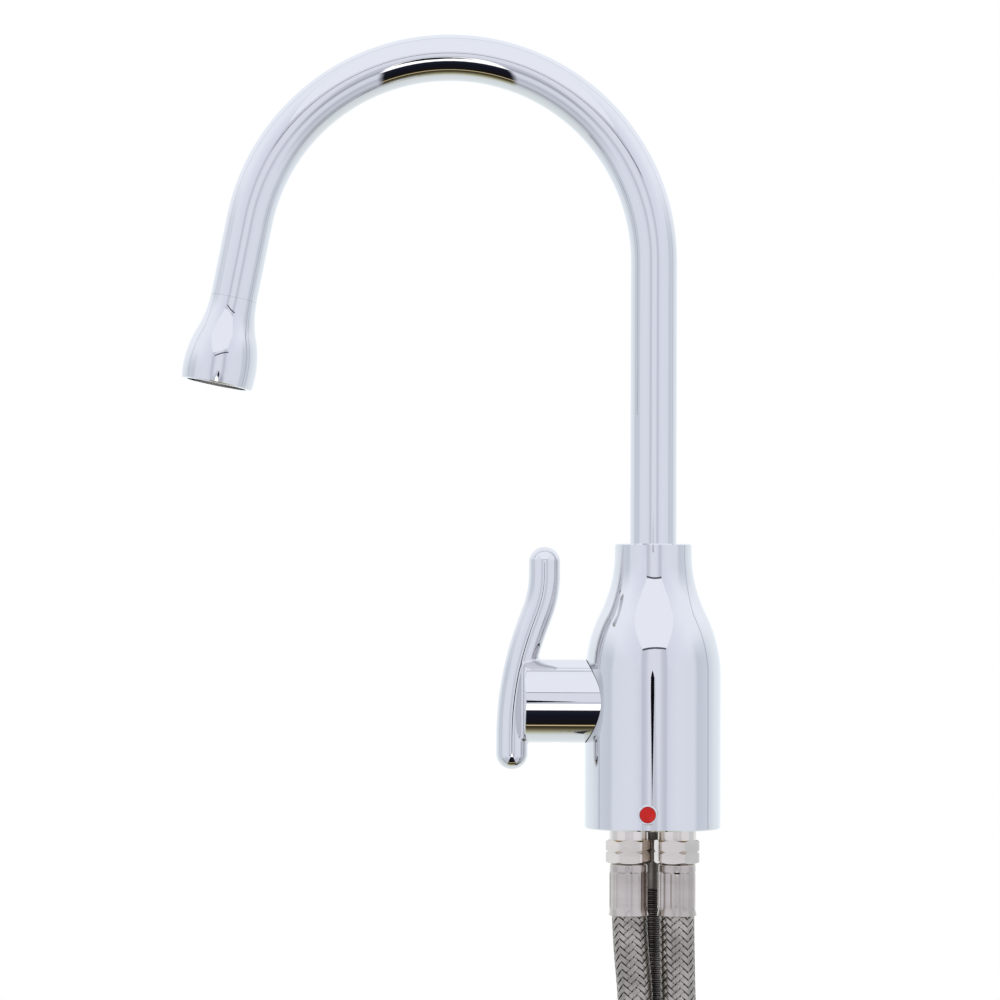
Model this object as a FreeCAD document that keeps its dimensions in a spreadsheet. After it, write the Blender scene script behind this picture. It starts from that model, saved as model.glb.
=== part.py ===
import FreeCAD, Part
import math
import os
import re
import Sketcher

# Boiling water tap: a gooseneck spout that swivels in a bottle-shaped body, a quarter-turn
# ceramic valve worked by a side lever, two braided tails and a threaded stud with its clamp.
# The origin is the centre of the body's underside, where it stands on the worktop. +Z is up,
# the spout and the lever point to -X, and the index button faces the user at -Y.

SIZES = {
    # clearances
    "seat_gap": 0.05,            # between pieces that are screwed, pressed or laid together
    "running_gap": 0.06,         # round a piece that turns in its bore
    "loose_gap": 0.35,           # round a moving piece that nothing guides
    "lead_edge": 0.5,            # chamfer on the ends of inner turned pieces
    # outer body, a turned and plated brass bottle
    "body_radius": 23.3,
    "body_height": 97.0,
    "body_edge": 0.4,
    "shoulder_start": 52.0,
    "collar_start": 94.0,
    "collar_radius": 13.25,
    "shell_wall": 3.0,
    "rim_wall": 1.4,
    "collar_wall": 2.35,
    "lip_height": 2.8,
    "cone_bottom": 56.0,
    "cone_top": 80.0,
    # waterway block inside the body
    "flange_height": 2.6,
    "land_top": 10.5,
    "waist_gap": 1.7,
    "upper_land": 47.0,
    "block_top": 54.0,
    "stem_wall": 3.9,
    "stem_drop": 14.0,           # from the body's top down to the stem's top
    "waterway_radius": 2.8,
    "seal_groove_depth": 1.5,
    "seal_groove_width": 2.0,
    "seal_groove_wall": 1.25,
    # index button at the foot of the body and the grub screw behind it
    "index_height": 5.7,
    "index_turn": 6.5,
    "index_radius": 2.8,
    "bezel_wall": 0.6,
    "bezel_proud": 0.25,
    "bezel_edge": 0.2,
    "index_depth": 1.5,
    "shell_screw_radius": 2.0,
    "shell_screw_length": 6.5,
    "shell_screw_socket": 1.16,
    "hex_socket_depth": 2.2,
    # gooseneck spout
    "tube_radius": 8.0,
    "tube_wall": 1.4,
    "riser_top": 194.2,
    "bend_radius": 70.3,
    "bend_turn": 169.0,
    "drop_length": 27.2,
    "liner_radius": 4.0,
    "liner_wall": 0.95,
    # spigot under the spout, its socket above the valve and its seals
    "socket_land": 6.8,          # from the valve's pocket up to the socket's floor
    "spigot_clearance": 1.5,     # under the spigot's foot
    "spigot_radius": 6.4,
    "spigot_bore": 2.2,
    "spigot_flange": 2.0,
    "plug_length": 6.0,
    "barb_length": 11.0,
    "barb_tooth": 3.0,
    "barb_step": 0.4,
    "washer_height": 0.9,
    "spout_ring_low": 3 / 11,    # of the land between the spigot's foot and its snap ring
    "spout_ring_high": 7 / 11,
    "spout_ring_section": 0.78,
    "ring_groove_width": 2.4,
    "snap_depth": 5.0,           # below the stem's top
    "snap_thickness": 1.2,
    "snap_inner": 5.3,
    "snap_outer": 7.2,
    # nozzle at the spout's end
    "nozzle_length": 30.1,
    "nozzle_neck": 8.05,
    "nozzle_belly": 12.65,
    "belly_start": 25.0,
    "nozzle_edge": 0.35,
    "neck_thread": 6.5,
    "neck_thread_length": 9.0,
    "nozzle_chamber": 7.4,
    "adaptor_plug": 10.0,
    "adaptor_barb": 12.0,
    "cage_start": 17.2,
    "cage_radius": 10.2,
    "cage_length": 11.0,
    "cage_wall": 1.5,
    "cage_edge": 0.3,
    "cage_lip": 1.0,
    "cage_lip_width": 0.7,
    "stream_hole": 0.75,
    "stream_pitch": 2.3,
    "nozzle_seal": 1.0,
    "seal_inset": 0.2,
    "nozzle_ring_section": 0.6,
    "neck_land": 0.6,
    # lever: a hub in the body's side and an S-shaped bar
    "valve_height": 43.2,
    "hub_radius": 14.25,
    "hub_start": 17.2,
    "hub_face": 44.2,
    "hub_edge": 0.8,
    "hub_cavity": 11.8,
    "cavity_end": 27.0,
    "spindle_end": 38.5,
    "bar_radius": 5.4,
    "bar_top": 47.4,
    "bar_reach": 37.25,
    "bar_upper": 4.1,
    "bar_upper_bend": 36.0,
    "bar_lean": 20.0,
    "bar_middle": 6.6,
    "bar_lower_bend": 108.0,
    "bar_lower": 5.8,
    "bar_fillet": 0.9,
    "lever_screw_place": 33.0,
    "lever_screw_radius": 2.5,
    "lever_screw_length": 6.0,
    "lever_screw_socket": 1.45,
    "lever_plug_radius": 3.0,
    "lever_plug_length": 2.6,
    # quarter-turn valve on the lever's axis
    "pocket_radius": 10.0,
    "pocket_floor": 1.0,
    "chamber_radius": 6.6,
    "chamber_depth": 5.5,
    "outlet_offset": 1.5,
    "seat_seal_height": 1.2,
    "disc_radius": 7.4,
    "disc_height": 3.0,
    "disc_port": 2.2,
    "port_offset": 4.4,
    "window_width": 9.0,
    "cage_end": 12.0,
    "foot_radius": 7.3,
    "foot_height": 2.2,
    "dog_width": 3.0,
    "dog_depth": 1.2,
    "dog_inset": 1.0,
    "spindle_radius": 4.0,
    "spindle_flat": 0.8,
    "gland_end": 16.6,
    "gland_head": 4.6,
    "gland_width": 17.0,
    "gland_bevel": 0.8,
    "spindle_ring_place": 14.5,
    "spindle_ring_section": 0.55,
    # braided tails
    "tail_pitch": 16.4,
    "tail_setback": -3.0,
    "tail_thread": 5.0,
    "tail_thread_length": 9.5,
    "tail_seat_depth": 0.3,      # of the spot face in the block, in which the collar seats
    "tail_bore": 2.4,
    "tail_collar_radius": 6.6,
    "tail_collar_height": 3.8,
    "tail_ring_section": 0.7,
    "tail_hex_width": 14.0,
    "tail_hex_corner": 7.85,
    "tail_hex_height": 7.9,
    "tail_hex_groove": 0.55,
    "tail_hex_bevel": 0.8,
    "left_hex_turn": 0.0,
    "right_hex_turn": 16.6,
    "neck_radius": 4.5,
    "stem_radius": 3.4,
    "stem_length": 14.0,
    "ferrule_radius": 6.65,
    "ferrule_length": 17.8,
    "ferrule_lip": 3.1,
    "ferrule_flat": 6.42,
    "ferrule_flare": 6.85,
    "flare_length": 3.4,
    "flare_wall": 0.5,
    "hose_inset": 0.3,
    "hose_radius": 6.0,
    "hose_bore": 3.45,
    "end_neck_radius": 6.0,
    "end_neck_length": 6.2,
    "end_flange_radius": 7.3,
    "end_flange_height": 2.0,
    "end_washer_height": 2.0,
    "nut_width": 20.0,
    "nut_height": 16.0,
    "nut_thread": 7.48,
    "nut_relief": 0.9,
    "nut_clearance": 0.18,
    "nut_shoulder": 4.2,
    "nut_bevel": 1.0,
    # fixing stud and clamp
    "stud_radius": 5.0,
    "stud_setback": 12.0,
    "stud_depth": 11.0,
    "stud_shank": 21.8,
    "stud_length": 92.0,
    "stud_tip": 1.0,
    "thread_pitch": 1.5,
    "thread_depth": 0.85,
    "clamp_start": 66.0,
    "clamp_rubber_height": 3.0,
    "clamp_plate_height": 2.0,
    "clamp_radius": 25.0,
    "rubber_inset": 1.0,
    "clamp_slot": 8.3,
    "clamp_nut_width": 17.0,
    "clamp_nut_bevel": 0.9,
    "clamp_nut_height": 8.0,
}

# Routes of the two tails under the worktop, chosen by hand: each leaves its ferrule
# straight down, bows a little and ends upright in its own ferrule and nut.
HOSE_ROUTES = {
    "left": [
        (-8.2, -3.0, -15.1),
        (-8.2, -3.0, -33.0),
        (-5.0, -5.2, -65.0),
        (-8.0, -7.0, -103.0),
        (-14.5, -7.0, -152.0),
        (-18.0, -4.5, -207.0),
        (-17.5, -2.5, -239.0),
        (-17.5, -2.5, -269.0),
    ],
    "right": [
        (8.2, -3.0, -15.1),
        (8.2, -3.0, -50.0),
        (10.5, -5.5, -97.0),
        (15.5, -5.0, -148.0),
        (18.6, -1.5, -204.0),
        (17.9, 0.5, -238.0),
        (17.9, 0.5, -269.0),
    ],
}
ARC_SHARE = 0.45                 # of the shorter run, that an arc of a hose's route takes up
CRIMPS = 8                       # flats pressed into each ferrule
STREAM_RINGS = 3                 # rings of holes round the flow straightener's middle one
THREAD_CREST = 0.1               # of the pitch, flat at each side of a thread's groove
THREAD_ROOT = 0.45               # of the pitch, from the groove's edge to its narrow floor

doc = FreeCAD.newDocument("boiling_water_tap")
sheet = doc.addObject("Spreadsheet::Sheet", "Sizes")
for row, (name, number) in enumerate(SIZES.items(), start=1):
    sheet.set(f"A{row}", name)
    sheet.set(f"B{row}", str(number))
    sheet.setAlias(f"B{row}", name)
doc.recompute()

SIZE_NAME = re.compile(r"[a-z]+(?:_[a-z]+)+")
ZERO = "0"
NODES = {}


# ---------------------------------------------------------------- helpers
def linked(text):
    """An expression in the sheet's names, as an object outside the sheet reads it."""
    return SIZE_NAME.sub(lambda found: "Sizes." + found.group(), text)


def value(text):
    """What an expression in the sheet's names comes to."""
    return float(sheet.evalExpression(text))


def bind(thing, **sizes):
    """Set properties of an object from expressions in the sheet's names."""
    for field, text in sizes.items():
        thing.setExpression(field, linked(text))
    return thing


UPRIGHT = FreeCAD.Rotation()
DOWN = FreeCAD.Rotation(FreeCAD.Vector(1, 0, 0), 180)
OUTWARD = FreeCAD.Rotation(FreeCAD.Vector(0, 1, 0), -90)
NOZZLE_TURN = FreeCAD.Rotation(FreeCAD.Vector(0, 1, 0), 360 - value("bend_turn"))
TO_USER = FreeCAD.Rotation(FreeCAD.Vector(1, 0, 0), 90)
INDEX_TURN = FreeCAD.Rotation(FreeCAD.Vector(0, 0, 1), -value("index_turn")).multiply(TO_USER)

# The spout's seam with the nozzle lies below the end of the bend, along its last direction.
SEAM_X = "bend_radius * (cos(bend_turn) - 1) - drop_length * sin(bend_turn)"
SEAM_Z = "riser_top + bend_radius * sin(bend_turn) + drop_length * cos(bend_turn)"
VALVE_AXIS = (OUTWARD, ZERO, ZERO, "valve_height")
NOZZLE_AXIS = (NOZZLE_TURN, SEAM_X, ZERO, SEAM_Z)
INDEX_AXIS = (INDEX_TURN, ZERO, ZERO, "index_height")
BODY_AXIS = (UPRIGHT, ZERO, ZERO, ZERO)


def place(thing, frame, across=ZERO, aside=ZERO, along=ZERO):
    """Put an object at a point of a frame (turn, x, y, z), turned with the frame."""
    turn, base_x, base_y, base_z = frame
    offset = turn.multVec(FreeCAD.Vector(value(across), value(aside), value(along)))
    thing.Placement = FreeCAD.Placement(offset, turn)
    axes = [turn.multVec(FreeCAD.Vector(*unit)) for unit in ((1, 0, 0), (0, 1, 0), (0, 0, 1))]
    for letter, base in zip("xyz", (base_x, base_y, base_z)):
        terms = [f"({base})"]
        for axis, text in zip(axes, (across, aside, along)):
            share = getattr(axis, letter)
            if text != ZERO and abs(share) > 1e-9:
                terms.append(f"{share:.12f} * ({text})")
        thing.setExpression(f"Placement.Base.{letter}", linked(" + ".join(terms)))
    return thing


def arc_between(start, end, radius):
    """An arc of less than half a turn; a negative radius turns clockwise."""
    chord = end.sub(start)
    height = math.sqrt(radius ** 2 - (chord.Length / 2) ** 2)
    left = FreeCAD.Vector(-chord.y, chord.x, 0).normalize()
    middle = start.add(end).multiply(0.5)
    centre = middle.add(left.multiply(math.copysign(height, radius)))
    circle = Part.Circle(centre, FreeCAD.Vector(0, 0, 1), abs(radius))
    first, last = (start, end) if radius > 0 else (end, start)
    angles = [math.atan2(p.y - centre.y, p.x - centre.x) for p in (first, last)]
    return Part.ArcOfCircle(circle, angles[0], angles[1])


def outline(body, plane, points, closed=True):
    """A sketch through points (across, up) on one of the body's own planes.

    A third entry is the radius of an arc that leads to the point, negative if clockwise.
    """
    sketch = body.newObject("Sketcher::SketchObject", "Outline")
    origin = {feature.Role: feature for feature in body.Origin.OriginFeatures}
    sketch.AttachmentSupport = [(origin[plane], "")]
    sketch.MapMode = "FlatFace"
    corners = [FreeCAD.Vector(value(point[0]), value(point[1]), 0) for point in points]
    begins = []
    ends = []
    first = 0 if closed else 1
    for index in range(first, len(points)):
        start = corners[index - 1]
        radius = value(points[index][2]) if len(points[index]) == 3 else None
        if radius is None:
            edge = sketch.addGeometry(Part.LineSegment(start, corners[index]))
        else:
            edge = sketch.addGeometry(arc_between(start, corners[index], radius))
            size = sketch.addConstraint(Sketcher.Constraint("Radius", edge, abs(radius)))
            sketch.setExpression(f"Constraints[{size}]", linked(f"abs({points[index][2]})"))
        backwards = radius is not None and radius < 0
        begins.append((edge, 2 if backwards else 1))
        ends.append((edge, 1 if backwards else 2))
    for step in range(len(ends) - (0 if closed else 1)):
        joint = ends[step] + begins[(step + 1) % len(begins)]
        sketch.addConstraint(Sketcher.Constraint("Coincident", *joint))
    fixed = list(zip(ends, points[first:]))
    if not closed:
        fixed.insert(0, (begins[0], points[0]))
    for (edge, corner), point in fixed:
        for kind, axis, text in (("DistanceX", -2, point[0]), ("DistanceY", -1, point[1])):
            if text == ZERO:
                sketch.addConstraint(Sketcher.Constraint("PointOnObject", edge, corner, axis))
                continue
            number = value(text)
            size = sketch.addConstraint(Sketcher.Constraint(kind, -1, 1, edge, corner, number))
            sketch.setExpression(f"Constraints[{size}]", linked(text))
    return sketch


def turned(name, points, frame=BODY_AXIS, **at):
    """A lathe-turned piece: an outline of (radius, height) points spun about the frame's axis."""
    body = doc.addObject("PartDesign::Body", name)
    sketch = outline(body, "XZ_Plane", points)
    spin = body.newObject("PartDesign::Revolution", "Turning")
    spin.Profile = (sketch, [""])
    spin.ReferenceAxis = (sketch, ["V_Axis"])
    spin.Angle = 360
    place(body, frame, **at)
    return body


def ring(name, inner, outer, bottom, top, frame=BODY_AXIS, **at):
    """A plain ring or disc between two radii and two heights."""
    points = [(inner, bottom), (outer, bottom), (outer, top), (inner, top)]
    return turned(name, points, frame, **at)


def rod(name, radius, height, frame=BODY_AXIS, **at):
    """A cylinder that starts at a point of the frame and runs along its axis."""
    cylinder = doc.addObject("Part::Cylinder", name)
    bind(cylinder, Radius=radius, Height=height)
    return place(cylinder, frame, **at)


def block(name, length, width, height, frame=BODY_AXIS, **at):
    """A box, measured along the frame's three directions."""
    box = doc.addObject("Part::Box", name)
    bind(box, Length=length, Width=width, Height=height)
    return place(box, frame, **at)


def prism(name, sides, corner_radius, height, frame=BODY_AXIS, **at):
    """A prism, such as a hexagon, about the frame's axis."""
    shape = doc.addObject("Part::Prism", name)
    shape.Polygon = sides
    bind(shape, Circumradius=corner_radius, Height=height)
    return place(shape, frame, **at)


def torus(name, middle_radius, section_radius, frame=BODY_AXIS, **at):
    """A round rubber ring about the frame's axis."""
    seal = doc.addObject("Part::Torus", name)
    bind(seal, Radius1=middle_radius, Radius2=section_radius)
    return place(seal, frame, **at)


def fused(name, *pieces):
    """Several shapes as one solid."""
    union = doc.addObject("Part::MultiFuse", name)
    union.Shapes = list(pieces)
    union.Refine = True
    return union


def shared(name, *pieces):
    """What several shapes have in common."""
    common = doc.addObject("Part::MultiCommon", name)
    common.Shapes = list(pieces)
    return common


def cut(name, base, *tools):
    """A shape with others taken out of it."""
    tool = tools[0]
    if len(tools) > 1:
        tool = doc.addObject("Part::MultiFuse", name + "_tools")
        tool.Shapes = list(tools)
    result = doc.addObject("Part::Cut", name)
    result.Base = base
    result.Tool = tool
    return result


def group(name, *pieces):
    """Identical pieces that share one node, as separate solids."""
    together = doc.addObject("Part::Compound", name)
    together.Links = list(pieces)
    return together


def keep(name, thing):
    """Name a finished piece; the name is also its file's."""
    thing.Label = name
    NODES[name] = thing
    return thing


# ---------------------------------------------------------------- outer body
SHELL_BORE = "body_radius - shell_wall"
RIM_BORE = "body_radius - rim_wall"
COLLAR_BORE = "collar_radius - collar_wall"
SHOULDER_RISE = "(collar_start - shoulder_start)"
SHOULDER_STEP = "(body_radius - collar_radius)"
SHOULDER_ARC = f"({SHOULDER_STEP}^2 + {SHOULDER_RISE}^2) / (4 * {SHOULDER_STEP})"

shell_turning = turned("shell_turning", [
    (RIM_BORE, ZERO),
    ("body_radius - body_edge", ZERO),
    ("body_radius", "body_edge"),
    ("body_radius", "shoulder_start"),
    ("(body_radius + collar_radius) / 2", "(shoulder_start + collar_start) / 2", SHOULDER_ARC),
    ("collar_radius", "collar_start", f"-({SHOULDER_ARC})"),
    ("collar_radius", "body_height - body_edge"),
    ("collar_radius - body_edge", "body_height"),
    ("tube_radius + loose_gap", "body_height"),
    ("tube_radius + loose_gap", "body_height - lip_height"),
    (COLLAR_BORE, "body_height - lip_height"),
    (COLLAR_BORE, "cone_top"),
    (SHELL_BORE, "cone_bottom"),
    (SHELL_BORE, "flange_height + seat_gap"),
    (RIM_BORE, "flange_height + seat_gap"),
])
hub_hole = rod("hub_hole", "hub_radius + loose_gap", "2 * body_radius", VALVE_AXIS)
bezel_hole = rod("bezel_hole", "index_radius + bezel_wall + seat_gap", "2 * shell_wall",
                 INDEX_AXIS, along="body_radius - index_depth")
screw_window = rod("screw_window", "shell_screw_radius + seat_gap", "2 * shell_wall",
                   INDEX_AXIS, along="body_radius - 2 * shell_wall")
keep("body_shell", cut("body_shell", shell_turning, hub_hole, bezel_hole, screw_window))

# ---------------------------------------------------------------- waterway block
STEM_TOP = "(body_height - stem_drop)"
SOCKET_FLOOR = "(valve_height + pocket_radius + socket_land)"
SNAP_FLOOR = f"({STEM_TOP} - snap_depth)"
SCREW_START = "body_radius - index_depth - shell_screw_length - seat_gap"
LAND = f"{SHELL_BORE} - seat_gap"
WAIST = f"{SHELL_BORE} - waist_gap"
STEM = "spigot_radius + running_gap + stem_wall"
SEAL_OUTER = f"{RIM_BORE} - seat_gap - seal_groove_wall"
SEAL_INNER = f"{SEAL_OUTER} - seal_groove_width"

block_turning = turned("block_turning", [
    (ZERO, ZERO),
    (f"{RIM_BORE} - seat_gap", ZERO),
    (f"{RIM_BORE} - seat_gap", "flange_height"),
    (LAND, "flange_height"),
    (LAND, "land_top"),
    (WAIST, "land_top"),
    (WAIST, "upper_land"),
    (LAND, "upper_land"),
    (LAND, "block_top"),
    (STEM, "block_top"),
    (STEM, STEM_TOP),
    (ZERO, STEM_TOP),
])
block_cuts = [
    rod("socket_bore", "spigot_radius + running_gap", "body_height", along=SOCKET_FLOOR),
    ring("snap_groove", ZERO, "snap_outer + loose_gap", f"{SNAP_FLOOR} - loose_gap / 2",
         f"{SNAP_FLOOR} + snap_thickness + loose_gap / 2"),
    ring("seal_groove", SEAL_INNER, SEAL_OUTER, "-seal_groove_depth", "seal_groove_depth"),
    rod("hub_recess", "hub_radius + loose_gap", "body_radius", VALVE_AXIS,
        along="hub_start - loose_gap"),
    rod("valve_pocket", "pocket_radius", "body_radius", VALVE_AXIS, along="pocket_floor"),
    rod("outlet_chamber", "chamber_radius", "chamber_depth + pocket_floor", VALVE_AXIS,
        along="-chamber_depth"),
    rod("outlet_bore", "waterway_radius", f"{SOCKET_FLOOR} - valve_height + seat_gap",
        across="outlet_offset", along="valve_height"),
    rod("vent_cross_bore", "waterway_radius", "tail_pitch / 2 + waterway_radius",
        VALVE_AXIS, along="-(tail_pitch / 2 + waterway_radius)"),
    rod("feed_bore", "waterway_radius", "valve_height", across="-tail_pitch / 2",
        aside="tail_setback"),
    rod("vent_bore", "waterway_radius", "valve_height + waterway_radius",
        across="tail_pitch / 2", aside="tail_setback"),
    rod("stud_hole", "stud_radius + seat_gap", "stud_depth + seat_gap", aside="stud_setback"),
    rod("shell_screw_hole", "shell_screw_radius + seat_gap", "2 * shell_screw_length",
        INDEX_AXIS, along=f"{SCREW_START} - loose_gap"),
]
for side, sign in (("left", "-"), ("right", "")):
    block_cuts.append(rod(f"tail_hole_{side}", "tail_thread + seat_gap",
                          "tail_thread_length + seat_gap", across=f"{sign}tail_pitch / 2",
                          aside="tail_setback"))
    block_cuts.append(rod(f"tail_seat_{side}", "tail_collar_radius + seat_gap",
                          "2 * tail_seat_depth", across=f"{sign}tail_pitch / 2",
                          aside="tail_setback", along="-tail_seat_depth"))
keep("valve_block", cut("valve_block", block_turning, *block_cuts))

keep("base_seal", ring("base_seal", f"{SEAL_INNER} + seat_gap", f"{SEAL_OUTER} - seat_gap",
                       ZERO, "seal_groove_depth - seat_gap"))

# ---------------------------------------------------------------- index button
keep("index_bezel", turned("index_bezel", [
    ("index_radius", "body_radius - index_depth + seat_gap"),
    ("index_radius + bezel_wall", "body_radius - index_depth + seat_gap"),
    ("index_radius + bezel_wall", "body_radius + bezel_proud - bezel_edge"),
    ("index_radius + bezel_wall - bezel_edge", "body_radius + bezel_proud"),
    ("index_radius", "body_radius + bezel_proud"),
], INDEX_AXIS))
BUTTON_RADIUS = "(index_radius - seat_gap)"
BUTTON_RISE = "(bezel_proud - seat_gap)"
BUTTON_DOME = f"({BUTTON_RADIUS}^2 + {BUTTON_RISE}^2) / (2 * {BUTTON_RISE})"
keep("index_button", turned("index_button", [
    (ZERO, "body_radius - index_depth + seat_gap"),
    (BUTTON_RADIUS, "body_radius - index_depth + seat_gap"),
    (BUTTON_RADIUS, "body_radius"),
    (ZERO, f"body_radius + {BUTTON_RISE}", BUTTON_DOME),
], INDEX_AXIS))

# ---------------------------------------------------------------- grub screws
def grub_screw(name, radius, length, socket_corner, frame, start):
    """A headless screw with a hexagon socket in its outer end."""
    shank = turned(name + "_shank", [
        (ZERO, start),
        (f"{radius} - lead_edge", start),
        (radius, f"{start} + lead_edge"),
        (radius, f"{start} + {length}"),
        (ZERO, f"{start} + {length}"),
    ], frame)
    socket = prism(name + "_socket", 6, socket_corner, "2 * hex_socket_depth", frame,
                   along=f"{start} + {length} - hex_socket_depth")
    return keep(name, cut(name, shank, socket))


grub_screw("shell_screw", "shell_screw_radius", "shell_screw_length", "shell_screw_socket",
           INDEX_AXIS, SCREW_START)

# ---------------------------------------------------------------- spout
BEND_END = ("bend_radius * (cos(bend_turn) - 1)", "riser_top + bend_radius * sin(bend_turn)")
WASHER_TOP = f"{STEM_TOP} + washer_height"
TUBE_FOOT = f"({WASHER_TOP} + 2 * seat_gap + spigot_flange)"


def spout_route(name, start, end_trim):
    """The spout's centre line from a height on the riser to a distance short of the seam."""
    body = doc.addObject("PartDesign::Body", name)
    return outline(body, "XZ_Plane", [
        (ZERO, start),
        (ZERO, "riser_top"),
        (*BEND_END, "bend_radius"),
        (f"{SEAM_X} + ({end_trim}) * sin(bend_turn)", f"{SEAM_Z} - ({end_trim}) * cos(bend_turn)"),
    ], closed=False)


def swept(name, section_radius, route, **start):
    """A round bar along a sketched line; the section lies flat at the line's start."""
    circle = doc.addObject("Part::Circle", name + "_section")
    bind(circle, Radius=section_radius)
    place(circle, BODY_AXIS, **start)
    sweep = doc.addObject("Part::Sweep", name)
    sweep.Sections = [circle]
    sweep.Spine = (route, [f"Edge{number + 1}" for number in range(route.GeometryCount)])
    sweep.Solid = True
    sweep.Frenet = False
    return sweep


tube_route = spout_route("tube_route", TUBE_FOOT, ZERO)
tube_bar = swept("tube_bar", "tube_radius", tube_route, along=TUBE_FOOT)
tube_hole = swept("tube_hole", "tube_radius - tube_wall", tube_route, along=TUBE_FOOT)
keep("spout_tube", cut("spout_tube", tube_bar, tube_hole))

PLUG_TOP = f"{TUBE_FOOT} + plug_length"
liner_route = spout_route("liner_route", f"{PLUG_TOP} + seat_gap", "adaptor_plug + seat_gap")
liner_bar = swept("liner_bar", "liner_radius", liner_route, along=f"{PLUG_TOP} + seat_gap")
liner_hole = swept("liner_hole", "liner_radius - liner_wall", liner_route,
                   along=f"{PLUG_TOP} + seat_gap")
keep("spout_liner", cut("spout_liner", liner_bar, liner_hole))

BARB = "liner_radius - liner_wall - seat_gap"
TUBE_FIT = "tube_radius - tube_wall - seat_gap"
RING_GROOVE = "spigot_radius - 2 * spout_ring_section"
SNAP_GROOVE = "snap_inner - seat_gap"
SPIGOT_FOOT = f"({SOCKET_FLOOR} + spigot_clearance)"
SEAL_LAND = f"({SNAP_FLOOR} - {SPIGOT_FOOT})"
RING_HEIGHTS = (f"({SPIGOT_FOOT} + {SEAL_LAND} * spout_ring_low)",
                f"({SPIGOT_FOOT} + {SEAL_LAND} * spout_ring_high)")
spigot = [
    ("spigot_bore", SPIGOT_FOOT),
    ("spigot_radius - lead_edge", SPIGOT_FOOT),
    ("spigot_radius", f"{SPIGOT_FOOT} + lead_edge"),
]
for height in RING_HEIGHTS:
    spigot += [
        ("spigot_radius", f"{height} - ring_groove_width / 2"),
        (RING_GROOVE, f"{height} - ring_groove_width / 2"),
        (RING_GROOVE, f"{height} + ring_groove_width / 2"),
        ("spigot_radius", f"{height} + ring_groove_width / 2"),
    ]
spigot += [
    ("spigot_radius", f"{SNAP_FLOOR} - seat_gap"),
    (SNAP_GROOVE, f"{SNAP_FLOOR} - seat_gap"),
    (SNAP_GROOVE, f"{SNAP_FLOOR} + snap_thickness + seat_gap"),
    ("spigot_radius", f"{SNAP_FLOOR} + snap_thickness + seat_gap"),
    ("spigot_radius", f"{TUBE_FOOT} - spigot_flange"),
    ("tube_radius", f"{TUBE_FOOT} - spigot_flange"),
    ("tube_radius", TUBE_FOOT),
    (TUBE_FIT, TUBE_FOOT),
    (TUBE_FIT, PLUG_TOP),
    (f"{BARB} - barb_step", PLUG_TOP),
    (f"{BARB} - barb_step", f"{PLUG_TOP} + barb_length - barb_tooth"),
    (BARB, f"{PLUG_TOP} + barb_length - barb_tooth"),
    (f"{BARB} - lead_edge", f"{PLUG_TOP} + barb_length"),
    ("spigot_bore", f"{PLUG_TOP} + barb_length"),
]
keep("spout_spigot", turned("spout_spigot", spigot))

spout_rings = []
for number, height in enumerate(RING_HEIGHTS):
    spout_rings.append(torus(f"spout_ring_{number}", "spigot_radius - spout_ring_section",
                             "spout_ring_section", along=height))
keep("spout_o_rings", group("spout_o_rings", *spout_rings))

snap_blank = ring("snap_blank", "snap_inner", "snap_outer", SNAP_FLOOR,
                  f"{SNAP_FLOOR} + snap_thickness")
snap_mouth = block("snap_mouth", "snap_outer * 2", "snap_inner", "snap_thickness * 3",
                   aside="-snap_inner / 2", along=f"{SNAP_FLOOR} - snap_thickness")
keep("spout_snap_ring", cut("spout_snap_ring", snap_blank, snap_mouth))

keep("slip_washer", ring("slip_washer", "spigot_radius + running_gap", f"{STEM} - seat_gap",
                         STEM_TOP, WASHER_TOP))
keep("spout_bush", ring("spout_bush", "tube_radius + running_gap", f"{COLLAR_BORE} - seat_gap",
                        WASHER_TOP, "body_height - lip_height - seat_gap"))

# ---------------------------------------------------------------- nozzle
BELLY_STEP = "(nozzle_belly - nozzle_neck)"
BELLY_ARC = f"({BELLY_STEP}^2 + belly_start^2) / (4 * {BELLY_STEP})"
RIM_RADIUS = (f"nozzle_belly - {BELLY_ARC} + sqrt(({BELLY_ARC})^2 - "
              "(nozzle_length - nozzle_edge - belly_start)^2)")
CAGE_BORE = "cage_radius + seat_gap"
keep("nozzle_shell", turned("nozzle_shell", [
    ("neck_thread + seat_gap", "seat_gap"),
    ("nozzle_neck", "seat_gap"),
    (f"nozzle_neck + {BELLY_STEP} / 2", "belly_start / 2", f"-({BELLY_ARC})"),
    (RIM_RADIUS, "nozzle_length - nozzle_edge", BELLY_ARC),
    (f"{RIM_RADIUS} - nozzle_edge", "nozzle_length"),
    (CAGE_BORE, "nozzle_length"),
    (CAGE_BORE, "cage_start - nozzle_seal - seat_gap"),
    ("nozzle_chamber", "cage_start - nozzle_seal - seat_gap"),
    ("nozzle_chamber", "neck_thread_length + seat_gap"),
    ("neck_thread + seat_gap", "neck_thread_length + seat_gap"),
], NOZZLE_AXIS))

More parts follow.
